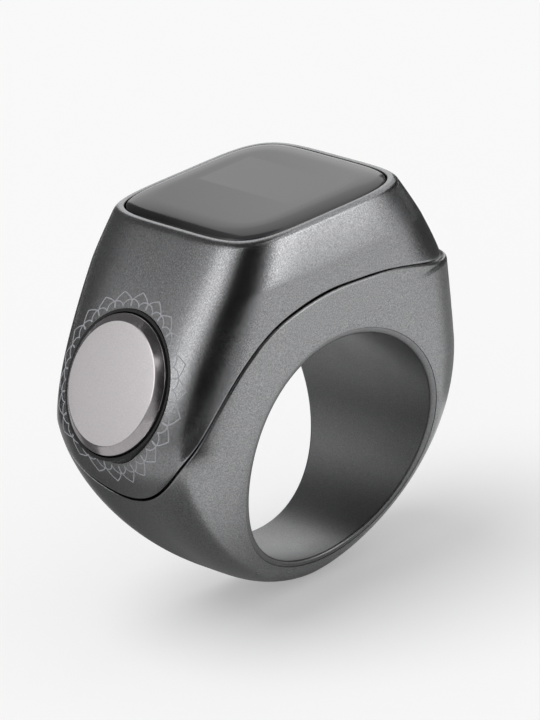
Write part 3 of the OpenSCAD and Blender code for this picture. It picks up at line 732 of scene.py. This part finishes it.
# Button cap: domed face, polished bevel and a skirt that is open below
def button_cap():
    dome = [(FACE_R * i / DOME_STEPS, CAP_RISE - FACE_DOME * (i / DOME_STEPS) ** 2, 0)
            for i in range(DOME_STEPS)]
    inner_r, inner_z = CAP_R - CAP_WALL, CAP_RISE - CAP_TOP
    side = [(FACE_R, CAP_RISE - FACE_DOME, 1), (CAP_R, CAP_SIDE, 0.6), (CAP_R, -CAP_SKIRT, 0.5),
            (inner_r, -CAP_SKIRT, 0.5), (inner_r, inner_z, 0), (0.0, inner_z, 0)]
    profile = rounded(dome + side, CAP_ROUND)
    return mesh_piece("button_cap_finish", turned(profile, CAP_SIDES),
                      grid_faces(len(profile), CAP_SIDES, False))


make_camera()
head = cut_round_hole(head_shell())
band = ring_band()
liner = inner_liner()
glass = display_glass()
cap = button_cap()


# Materials
def new_material(name):
    material = bpy.data.materials.new(name)
    material.use_nodes = True
    nodes = material.node_tree.nodes
    return material, nodes, material.node_tree.links, nodes["Principled BSDF"]


def math_node(nodes, links, operation, *inputs):
    """The result of a math node, from sockets and numbers."""
    node = nodes.new("ShaderNodeMath")
    node.operation = operation
    for socket, value in zip(node.inputs, inputs):
        if isinstance(value, (int, float)):
            socket.default_value = value
        else:
            links.new(value, socket)
    return node.outputs[0]


def noise(nodes, links, coords, size_mm, detail=3.0):
    texture = nodes.new("ShaderNodeTexNoise")
    texture.inputs["Scale"].default_value = 1 / (size_mm * MM)
    texture.inputs["Detail"].default_value = detail
    texture.inputs["Roughness"].default_value = NOISE_ROUGHNESS
    links.new(coords.outputs["Object"], texture.inputs["Vector"])
    return texture.outputs["Fac"]


def ramp(nodes, links, source, stops):
    """A ramp between two stops, each a place and a value or colour."""
    node = nodes.new("ShaderNodeValToRGB")
    for element, (place, value) in zip(node.color_ramp.elements, stops):
        element.position = place
        element.color = (*value, 1) if hasattr(value, "__len__") else (value, value, value, 1)
    links.new(source, node.inputs["Fac"])
    return node.outputs["Color"]


def mix_colour(nodes, links, factor, colour, other):
    """A colour socket mixed toward another, fixed colour."""
    mix = nodes.new("ShaderNodeMix")
    mix.data_type = "RGBA"
    links.new(factor, mix.inputs["Factor"])
    links.new(colour, mix.inputs["A"])
    mix.inputs["B"].default_value = (*other, 1)
    return mix.outputs["Result"]


def fine_bump(nodes, links, shader, grain, strength, depth_mm):
    bump = nodes.new("ShaderNodeBump")
    bump.inputs["Strength"].default_value = strength
    bump.inputs["Distance"].default_value = depth_mm * MM
    links.new(grain, bump.inputs["Height"])
    links.new(bump.outputs["Normal"], shader.inputs["Normal"])


# Roughness of the noise textures, and the values between which a finish goes from its first
# look to its second
NOISE_ROUGHNESS = 0.55
GRAIN_LOW = 0.3
GRAIN_HIGH = 0.7

# Coated metal: sizes in mm of its grain, clouds and flakes, and how much each does
METAL_GRAIN = 0.12
METAL_GRAIN_DEPTH = 0.014
METAL_BUMP = 0.6
CLOUD = 4.0
CLOUD_DETAIL = 2.0
CLOUD_SPAN = (0.25, 0.75)
CLOUD_ROUGHNESS = (-0.03, 0.04)
FLAKE = 0.13
FLAKE_SPAN = (0.06, 0.16)
FLAKE_SHARE = 0.6
FLAKE_GAIN = 2.4


def satin_metal(name, dark, light, roughness):
    """Coated metal: fine grain in colour and bump, and sparse bright flakes."""
    material, nodes, links, shader = new_material(name)
    coords = nodes.new("ShaderNodeTexCoord")
    grain = noise(nodes, links, coords, METAL_GRAIN)
    cloud = noise(nodes, links, coords, CLOUD, CLOUD_DETAIL)
    tint = ramp(nodes, links, grain, [(GRAIN_LOW, dark), (GRAIN_HIGH, light)])
    flake = nodes.new("ShaderNodeTexVoronoi")
    flake.inputs["Scale"].default_value = 1 / (FLAKE * MM)
    links.new(coords.outputs["Object"], flake.inputs["Vector"])
    spark = ramp(nodes, links, flake.outputs["Distance"], zip(FLAKE_SPAN, (1.0, 0.0)))
    share = math_node(nodes, links, "MULTIPLY", spark, FLAKE_SHARE)
    bright = [min(1, v * FLAKE_GAIN) for v in light]
    links.new(mix_colour(nodes, links, share, tint, bright), shader.inputs["Base Color"])
    rough = ramp(nodes, links, cloud,
                 zip(CLOUD_SPAN, (roughness + change for change in CLOUD_ROUGHNESS)))
    links.new(rough, shader.inputs["Roughness"])
    shader.inputs["Metallic"].default_value = 1.0
    fine_bump(nodes, links, shader, grain, METAL_BUMP, METAL_GRAIN_DEPTH)
    return material


# Display glass: centre and half size of the lit area and the softness of its edge, in mm, its
# colour, and a painted reflection, a tint that grows lighter toward +X and -Y
LIT_CENTRE = (3.1, 0.0)
LIT_HALF = (2.8, 5.6)
LIT_SOFT = 0.05
LIT_COLOUR = (0.058, 0.056, 0.058)
PAINTED_SHEEN_ALONG = (0.7, -0.7, 0)
PAINTED_SHEEN_SPAN = (-6, 12)
PAINTED_SHEEN_DARK = (0.008, 0.008, 0.009)
PAINTED_SHEEN_LIGHT = (0.075, 0.075, 0.078)
SMEAR = 5.0
SMEAR_DETAIL = 4.0
SMEAR_ROUGHNESS = (0.1, 0.14)


def dark_glass(name):
    """Near-black glass; the display's own area under it is a little lighter, and a painted
    reflection lightens the glass toward +X and -Y.
    """
    material, nodes, links, shader = new_material(name)
    coords = nodes.new("ShaderNodeTexCoord")
    split = nodes.new("ShaderNodeSeparateXYZ")
    links.new(coords.outputs["Object"], split.inputs["Vector"])

    def span(value, start_mm, end_mm):
        """From 0 to 1 as the value goes from one length to the other."""
        node = nodes.new("ShaderNodeMapRange")
        node.inputs["From Min"].default_value = start_mm * MM
        node.inputs["From Max"].default_value = end_mm * MM
        links.new(value, node.inputs["Value"])
        return node.outputs["Result"]

    def inside(socket, centre_mm, half_mm):
        away = math_node(nodes, links, "SUBTRACT", socket, centre_mm * MM)
        size = math_node(nodes, links, "ABSOLUTE", away)
        return span(size, half_mm + LIT_SOFT, half_mm - LIT_SOFT)

    lit = math_node(nodes, links, "MULTIPLY",
                    *(inside(split.outputs[axis], centre, half)
                      for axis, centre, half in zip("XY", LIT_CENTRE, LIT_HALF)))
    # Painted reflection: the glass's colour grows lighter toward +X and -Y
    along = nodes.new("ShaderNodeVectorMath")
    along.operation = "DOT_PRODUCT"
    along.inputs[1].default_value = PAINTED_SHEEN_ALONG
    links.new(coords.outputs["Object"], along.inputs[0])
    tint = ramp(nodes, links, span(along.outputs["Value"], *PAINTED_SHEEN_SPAN),
                [(0.0, PAINTED_SHEEN_DARK), (1.0, PAINTED_SHEEN_LIGHT)])
    links.new(mix_colour(nodes, links, lit, tint, LIT_COLOUR), shader.inputs["Base Color"])
    smear = noise(nodes, links, coords, SMEAR, SMEAR_DETAIL)
    rough = ramp(nodes, links, smear, zip((GRAIN_LOW, GRAIN_HIGH), SMEAR_ROUGHNESS))
    links.new(rough, shader.inputs["Roughness"])
    return material


# Plain finishes: strength of their bump, and how much rougher the light grain is
PLAIN_BUMP = 0.5
PLAIN_ROUGHER = 0.08


def grained(name, dark, light, roughness, size_mm, metallic, depth_mm=0.004):
    """A plain moulded or metal finish with fine grain."""
    material, nodes, links, shader = new_material(name)
    coords = nodes.new("ShaderNodeTexCoord")
    grain = noise(nodes, links, coords, size_mm)
    tint = ramp(nodes, links, grain, [(GRAIN_LOW, dark), (GRAIN_HIGH, light)])
    links.new(tint, shader.inputs["Base Color"])
    rough = ramp(nodes, links, grain,
                 [(GRAIN_LOW, roughness), (GRAIN_HIGH, min(1, roughness + PLAIN_ROUGHER))])
    links.new(rough, shader.inputs["Roughness"])
    shader.inputs["Metallic"].default_value = metallic
    fine_bump(nodes, links, shader, grain, PLAIN_BUMP, depth_mm)
    return material


head_metal = satin_metal("head_metal", (0.205, 0.207, 0.212), (0.385, 0.388, 0.396), 0.25)
band_metal = satin_metal("band_metal", (0.21, 0.213, 0.217), (0.4, 0.403, 0.408), 0.28)
liner_metal = satin_metal("liner_metal", (0.19, 0.192, 0.195), (0.27, 0.273, 0.277), 0.36)
glass_finish = dark_glass("display_glass_finish")
face_metal = grained("button_face", (0.61, 0.582, 0.593), (0.74, 0.706, 0.718),
                     roughness=0.36, size_mm=0.1, metallic=0.6, depth_mm=0.01)
# Painted shade: the cap's side wall is coloured near black where the metal shows dark
painted_shade_side = grained("button_side_painted_shade", (0.012, 0.012, 0.013), (0.02, 0.02, 0.021),
                     roughness=0.3, size_mm=0.3, metallic=0.0, depth_mm=0.001)
bevel_metal = grained("button_bevel", (0.5, 0.47, 0.48), (0.56, 0.53, 0.54),
                      roughness=0.14, size_mm=0.5, metallic=1.0, depth_mm=0.001)


def dress(piece, material):
    piece.data.materials.clear()
    piece.data.materials.append(material)


dress(head, head_metal)
dress(band, band_metal)
dress(liner, liner_metal)
dress(glass, glass_finish)


# How near the edge of the cap's face, and how near a level, a face's middle may lie
FACE_EDGE_PLAY = 0.04
LEVEL_PLAY = 0.02


def dress_cap():
    """The domed face is blasted, the bevel round it polished, and the side wall painted near black
    as painted shade.
    """
    dress(cap, bevel_metal)
    cap.data.materials.append(face_metal)
    cap.data.materials.append(painted_shade_side)
    back = button_matrix().inverted()
    for face in cap.data.polygons:
        p = back @ (face.center / MM)
        is_inward = math.hypot(p.x, p.y) < FACE_R - FACE_EDGE_PLAY
        if is_inward and p.z > CAP_RISE - FACE_DOME - LEVEL_PLAY:
            face.material_index = 1
        elif p.z < CAP_SIDE - LEVEL_PLAY:
            face.material_index = 2


dress_cap()

# Inner pieces keep their CAD shape: dark colour, light colour, roughness, grain in mm, metallic
INNER_FINISHES = {
    "adhesive": ((0.008,) * 3, (0.02,) * 3, 0.8, 0.2, 0.0),
    "display_cell": ((0.006, 0.006, 0.009), (0.012, 0.012, 0.016), 0.12, 2.0, 0.0),
    "flex_film": ((0.3, 0.12, 0.02), (0.4, 0.17, 0.03), 0.35, 0.6, 0.0),
    "tray_plastic": ((0.008,) * 3, (0.014,) * 3, 0.5, 0.15, 0.0),
    "board_laminate": ((0.01, 0.06, 0.025), (0.015, 0.085, 0.035), 0.35, 0.5, 0.0),
    "chip_resin": ((0.006,) * 3, (0.012,) * 3, 0.55, 0.1, 0.0),
    "connector_plastic": ((0.52, 0.42, 0.26), (0.6, 0.5, 0.32), 0.45, 0.2, 0.0),
    "ceramic": ((0.6, 0.6, 0.56), (0.7, 0.7, 0.67), 0.3, 0.4, 0.0),
    "cell_foil": ((0.5, 0.51, 0.54), (0.62, 0.63, 0.66), 0.32, 0.5, 1.0),
    "motor_steel": ((0.45, 0.45, 0.46), (0.55, 0.55, 0.56), 0.25, 0.3, 1.0),
    "weight_metal": ((0.22, 0.16, 0.08), (0.3, 0.23, 0.12), 0.4, 0.15, 1.0),
    "soft_rubber": ((0.01,) * 3, (0.018,) * 3, 0.7, 0.2, 0.0),
    "stem_steel": ((0.42, 0.42, 0.43), (0.52, 0.52, 0.53), 0.22, 0.3, 1.0),
    "bezel_black": ((0.012, 0.012, 0.013), (0.02, 0.02, 0.021), 0.25, 0.2, 0.3),
    "contact_gold": ((0.6, 0.38, 0.12), (0.7, 0.46, 0.16), 0.22, 0.2, 1.0),
    "magnet_nickel": ((0.55, 0.54, 0.52), (0.62, 0.61, 0.58), 0.15, 0.3, 1.0),
}


def dress_inner_nodes():
    made = {}
    for part in frame["record"]["subparts"]:
        slot = part["material_slot"]
        if slot not in INNER_FINISHES:
            continue
        if slot not in made:
            dark, light, roughness, size, metallic = INNER_FINISHES[slot]
            made[slot] = grained(slot, dark, light, roughness, size, metallic)
        node = frame["nodes"][part["node"]]
        node.data.materials.clear()
        node.data.materials.append(made[slot])


dress_inner_nodes()


# Petal rosette round the button, as fine raised lines that lie on the head. Radii and lift are
# in mm, and the lines are cast onto the head from above the panel
PETALS = 22
PETAL_FOOT_R = 6.3
SHORT_TIP_R = 6.95
LONG_TIP_R = 7.6
LINE_RADIUS = 0.075
LINE_LIFT = -0.045
LINE_SIDES = 6
ARC_POINTS = 12
LINE_POINTS = 14
CAST_FROM = 4
CAST_LENGTH = 12

# Handles of a petal's arcs, as shares of its half width and of its height, foot's then tip's
SHORT_HANDLES = ((1.0, 0.6), (0.55, 1.0))
LONG_HANDLES = ((1.35, 0.45), (0.6, 0.75))


def petal_lines():
    """Nodes: two rows of petals on a circle, cast along the button's axis onto the head."""
    tree = bpy.data.node_groups.new("petal_lines", "GeometryNodeTree")
    sockets = tree.interface
    sockets.new_socket("Geometry", in_out="OUTPUT", socket_type="NodeSocketGeometry")
    for label, kind in (("Head", "NodeSocketObject"), ("Petals", "NodeSocketInt"),
                        ("Inner radius", "NodeSocketFloat"), ("Middle radius", "NodeSocketFloat"),
                        ("Outer radius", "NodeSocketFloat"), ("Line radius", "NodeSocketFloat"),
                        ("Lift", "NodeSocketFloat"), ("Finish", "NodeSocketMaterial")):
        sockets.new_socket(label, in_out="INPUT", socket_type=kind)
    nodes, links = tree.nodes, tree.links
    given = nodes.new("NodeGroupInput")

    def reckon(operation, *inputs):
        return math_node(nodes, links, operation, *inputs)

    def point(**axes):
        node = nodes.new("ShaderNodeCombineXYZ")
        for axis, value in axes.items():
            links.new(value, node.inputs[axis])
        return node.outputs["Vector"]

    half_step = reckon("DIVIDE", math.pi, given.outputs["Petals"])
    low = given.outputs["Inner radius"]
    foot_x = reckon("MULTIPLY", reckon("TANGENT", half_step), low)

    def petal_row(high, handles, turn):
        """One row: each petal is a pair of arcs from two feet up to a tip."""
        rise = reckon("SUBTRACT", high, low)
        parts = nodes.new("GeometryNodeJoinGeometry")
        for side in (-1, 1):
            arc = nodes.new("GeometryNodeCurvePrimitiveBezierSegment")
            arc.inputs["Resolution"].default_value = ARC_POINTS
            x = reckon("MULTIPLY", foot_x, side)
            links.new(point(X=x, Y=low), arc.inputs["Start"])
            for end, (out, up) in zip(("Start Handle", "End Handle"), handles):
                handle = point(X=reckon("MULTIPLY", x, out),
                               Y=reckon("ADD", low, reckon("MULTIPLY", rise, up)))
                links.new(handle, arc.inputs[end])
            links.new(point(Y=high), arc.inputs["End"])
            links.new(arc.outputs["Curve"], parts.inputs["Geometry"])
        spots = nodes.new("GeometryNodePoints")
        links.new(given.outputs["Petals"], spots.inputs["Count"])
        index = nodes.new("GeometryNodeInputIndex")
        angle = reckon("MULTIPLY", reckon("ADD", index.outputs[0], turn),
                       reckon("MULTIPLY", half_step, 2.0))
        copies = nodes.new("GeometryNodeInstanceOnPoints")
        links.new(spots.outputs["Points"], copies.inputs["Points"])
        links.new(parts.outputs["Geometry"], copies.inputs["Instance"])
        links.new(point(Z=angle), copies.inputs["Rotation"])
        return copies.outputs["Instances"]

    rows = nodes.new("GeometryNodeJoinGeometry")
    for tip, handles, turn in (("Middle radius", SHORT_HANDLES, 0.0),
                               ("Outer radius", LONG_HANDLES, 0.5)):
        links.new(petal_row(given.outputs[tip], handles, turn), rows.inputs["Geometry"])
    real = nodes.new("GeometryNodeRealizeInstances")
    links.new(rows.outputs["Geometry"], real.inputs["Geometry"])
    fine = nodes.new("GeometryNodeResampleCurve")
    fine.inputs["Count"].default_value = LINE_POINTS
    links.new(real.outputs["Geometry"], fine.inputs["Curve"])
    # Onto the head, along the button's axis
    place = button_matrix()
    lay = nodes.new("GeometryNodeTransform")
    lay.inputs["Translation"].default_value = (place @ Vector((0, 0, CAST_FROM))) * MM
    lay.inputs["Rotation"].default_value = place.to_euler()
    links.new(fine.outputs["Curve"], lay.inputs["Geometry"])
    info = nodes.new("GeometryNodeObjectInfo")
    links.new(given.outputs["Head"], info.inputs["Object"])
    cast = nodes.new("GeometryNodeRaycast")
    links.new(info.outputs["Geometry"], cast.inputs["Target Geometry"])
    cast.inputs["Ray Direction"].default_value = place.to_3x3() @ Vector((0, 0, -1))
    cast.inputs["Ray Length"].default_value = CAST_LENGTH * MM
    lifted = nodes.new("ShaderNodeVectorMath")
    lifted.operation = "MULTIPLY_ADD"
    lift = given.outputs["Lift"]
    for socket, value in zip(lifted.inputs, (cast.outputs["Hit Normal"],
                                             point(X=lift, Y=lift, Z=lift),
                                             cast.outputs["Hit Position"])):
        links.new(value, socket)
    laid = nodes.new("GeometryNodeSetPosition")
    links.new(lay.outputs["Geometry"], laid.inputs["Geometry"])
    links.new(lifted.outputs["Vector"], laid.inputs["Position"])
    wire = nodes.new("GeometryNodeCurvePrimitiveCircle")
    wire.inputs["Resolution"].default_value = LINE_SIDES
    links.new(given.outputs["Line radius"], wire.inputs["Radius"])
    tube = nodes.new("GeometryNodeCurveToMesh")
    links.new(laid.outputs["Geometry"], tube.inputs["Curve"])
    links.new(wire.outputs["Curve"], tube.inputs["Profile Curve"])
    tube.inputs["Fill Caps"].default_value = True
    whole = nodes.new("GeometryNodeRealizeInstances")
    links.new(tube.outputs["Mesh"], whole.inputs["Geometry"])
    finish = nodes.new("GeometryNodeSetMaterial")
    links.new(whole.outputs["Geometry"], finish.inputs["Geometry"])
    links.new(given.outputs["Finish"], finish.inputs["Material"])
    out = nodes.new("NodeGroupOutput")
    links.new(finish.outputs["Geometry"], out.inputs["Geometry"])
    return tree


def rosette():
    tree = petal_lines()
    etched = grained("etched_lines", (0.34, 0.345, 0.37), (0.42, 0.425, 0.45),
                     roughness=0.5, size_mm=0.2, metallic=0.3)
    piece = bpy.data.objects.new("petal_rosette", bpy.data.meshes.new("petal_rosette"))
    bpy.context.scene.collection.objects.link(piece)
    drawn = piece.modifiers.new("petals", "NODES")
    drawn.node_group = tree
    values = {"Head": head, "Petals": PETALS, "Inner radius": PETAL_FOOT_R * MM,
              "Middle radius": SHORT_TIP_R * MM, "Outer radius": LONG_TIP_R * MM,
              "Line radius": LINE_RADIUS * MM, "Lift": LINE_LIFT * MM, "Finish": etched}
    for item in tree.interface.items_tree:
        if item.in_out == "INPUT":
            drawn[item.identifier] = values[item.name]
    baked(piece)
    for face in piece.data.polygons:
        face.use_smooth = True
    return piece


petals = rosette()

# What each piece rides on and stands for
for piece, body, node, slot in ((head, "root", "head_shell", "head_metal"),
                                (band, "root", "ring_band", "band_metal"),
                                (liner, "root", "inner_liner", "liner_metal"),
                                (glass, "root", "display_glass", "dark_glass"),
                                (cap, "button", "button_cap", "button_metal")):
    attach(piece, body)
    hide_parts(node)
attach(petals, "root")


# Floor, world, lamp and the cards that the metal mirrors
BACKGROUND = 0.945
FLOOR_SIZE_M = 6
FLOOR_GAP_MM = 0.02
SHADE_SHARE = 0.55
SUN_TILT = (-0.3, 0.25, 1.0)
SUN_ANGLE_DEG = 45
SHADOW_LIFT = 0.35


def make_stage():
    """A matt floor, on which only the camera sees the shadow lightened."""
    bpy.ops.mesh.primitive_plane_add(size=FLOOR_SIZE_M,
                                     location=(0, 0, cad_box[0].z - FLOOR_GAP_MM * MM))
    floor = bpy.context.object
    floor.name = "floor"
    material, nodes, links, shader = new_material("floor")
    shader.inputs["Base Color"].default_value = (BACKGROUND, BACKGROUND, BACKGROUND, 1)
    shader.inputs["Roughness"].default_value = 1.0
    shader.inputs["Specular IOR Level"].default_value = 0.0
    path = nodes.new("ShaderNodeLightPath")
    share = math_node(nodes, links, "MULTIPLY", path.outputs["Is Camera Ray"], SHADOW_LIFT)
    pale = nodes.new("ShaderNodeEmission")
    pale.inputs["Color"].default_value = (BACKGROUND, BACKGROUND, BACKGROUND, 1)
    mix = nodes.new("ShaderNodeMixShader")
    links.new(share, mix.inputs["Fac"])
    links.new(shader.outputs["BSDF"], mix.inputs[1])
    links.new(pale.outputs["Emission"], mix.inputs[2])
    links.new(mix.outputs["Shader"], nodes["Material Output"].inputs["Surface"])
    floor.data.materials.append(material)


def make_world():
    """The background's level to the camera and in mirrors, and the shade's to matt surfaces."""
    world = bpy.data.worlds.new("studio")
    world.use_nodes = True
    nodes, links = world.node_tree.nodes, world.node_tree.links
    path = nodes.new("ShaderNodeLightPath")
    seen = math_node(nodes, links, "MAXIMUM", path.outputs["Is Camera Ray"],
                     path.outputs["Is Glossy Ray"])
    seen = math_node(nodes, links, "MAXIMUM", seen, path.outputs["Is Transmission Ray"])
    strength = nodes.new("ShaderNodeMapRange")
    strength.inputs["To Min"].default_value = SHADE_SHARE / BACKGROUND
    strength.inputs["To Max"].default_value = 1.0
    links.new(seen, strength.inputs["Value"])
    back = nodes["Background"]
    back.inputs["Color"].default_value = (BACKGROUND, BACKGROUND, BACKGROUND, 1)
    links.new(strength.outputs["Result"], back.inputs["Strength"])
    bpy.context.scene.world = world


def sun():
    """A wide soft sun, whose light is even over the whole floor."""
    data = bpy.data.lights.new("soft_sun", "SUN")
    data.angle = math.radians(SUN_ANGLE_DEG)
    toward = Vector(SUN_TILT).normalized()
    data.energy = math.pi * (1 - SHADE_SHARE) / toward.z
    light = bpy.data.objects.new("soft_sun", data)
    bpy.context.scene.collection.objects.link(light)
    light.visible_glossy = False
    light.rotation_mode = "QUATERNION"
    light.rotation_quaternion = (-toward).to_track_quat("-Z", "Y")


CARD_DISTANCE = 600
CARD_STEPS = 12
FLOOR_LIFT = 0.4


def card(name, azimuths, ends, strength):
    """A curved card that only mirrors show, between two arcs given as radius and height in mm."""
    points = []
    for radius, height in ends:
        for i in range(CARD_STEPS + 1):
            a = math.radians(azimuths[0] + (azimuths[1] - azimuths[0]) * i / CARD_STEPS)
            points.append((radius * math.sin(a) * MM, -radius * math.cos(a) * MM, height * MM))
    faces = [(i, i + 1, i + CARD_STEPS + 2, i + CARD_STEPS + 1) for i in range(CARD_STEPS)]
    mesh = bpy.data.meshes.new(name)
    mesh.from_pydata(points, [], faces)
    piece = bpy.data.objects.new(name, mesh)
    bpy.context.scene.collection.objects.link(piece)
    material, nodes, links, _ = new_material(name)
    glow = nodes.new("ShaderNodeEmission")
    glow.inputs["Strength"].default_value = strength
    links.new(glow.outputs["Emission"], nodes["Material Output"].inputs["Surface"])
    mesh.materials.append(material)
    for ray in ("camera", "diffuse", "shadow", "transmission", "volume_scatter"):
        setattr(piece, "visible_" + ray, False)


def standing(low_deg, high_deg):
    """Ends of a card that stands at a distance, between two elevations."""
    return [(CARD_DISTANCE * math.cos(math.radians(e)), CARD_DISTANCE * math.sin(math.radians(e)))
            for e in (low_deg, high_deg)]


def lying(near, far):
    """Ends of a card that lies on the floor."""
    return [(near, FLOOR_LIFT - SOLE), (far, FLOOR_LIFT - SOLE)]


# Name, azimuths from -Y toward +X in degrees, ends, and brightness of each card
CARDS = [
    ("left_softbox", (-127, -94), standing(20, 52), 1.9),
    ("left_rear_card", (-148, -127), standing(20, 52), 0.6),
    ("left_near_card", (-94, -78), standing(20, 52), 1.0),
    ("left_front_card", (-78, -64), standing(20, 52), 0.3),
    ("camera_card", (-64, 2), standing(-1, 60), 0.02),
    ("camera_side_card", (2, 16), standing(-1, 55), 0.25),
    ("front_softbox", (16, 40), standing(-1, 26), 2.7),
    ("front_softbox_end", (40, 50), standing(-1, 24), 0.5),
    ("right_card", (50, 100), standing(-1, 30), 0.03),
    ("right_rear_card", (100, 128), standing(-1, 20), 0.05),
    ("glass_softbox", (128, 156), standing(10, 34), 1.15),
    ("ceiling_card", (0, 360), standing(60, 89), 0.06),
    ("low_left_card", (-146, -64), standing(-1, 20), 0.42),
    ("rear_left_card", (-204, -148), standing(-1, 60), 0.14),
    ("floor_left_card", (-125, -60), lying(6, 32), 0.2),
    ("floor_far_left_card", (-125, -66), lying(32, 420), 0.6),
    ("floor_rear_left_card", (-150, -125), lying(6, 420), 0.14),
    ("floor_rear_card", (-206, -168), lying(6, 80), 0.5),
    ("floor_behind_card", (-168, -150), lying(6, 80), 0.35),
    ("floor_far_rear_card", (-206, -150), lying(80, 420), 0.08),
    ("floor_camera_card", (-60, -15), lying(40, 420), 0.06),
    ("floor_side_card", (-15, 8), lying(80, 420), 0.4),
    ("floor_right_card", (70, 130), lying(30, 80), 0.35),
    ("floor_far_right_card", (54, 130), lying(80, 420), 0.08),
]

make_stage()
make_world()
sun()
for entry in CARDS:
    card(*entry)

bpy.context.scene.view_settings.view_transform = "Standard"
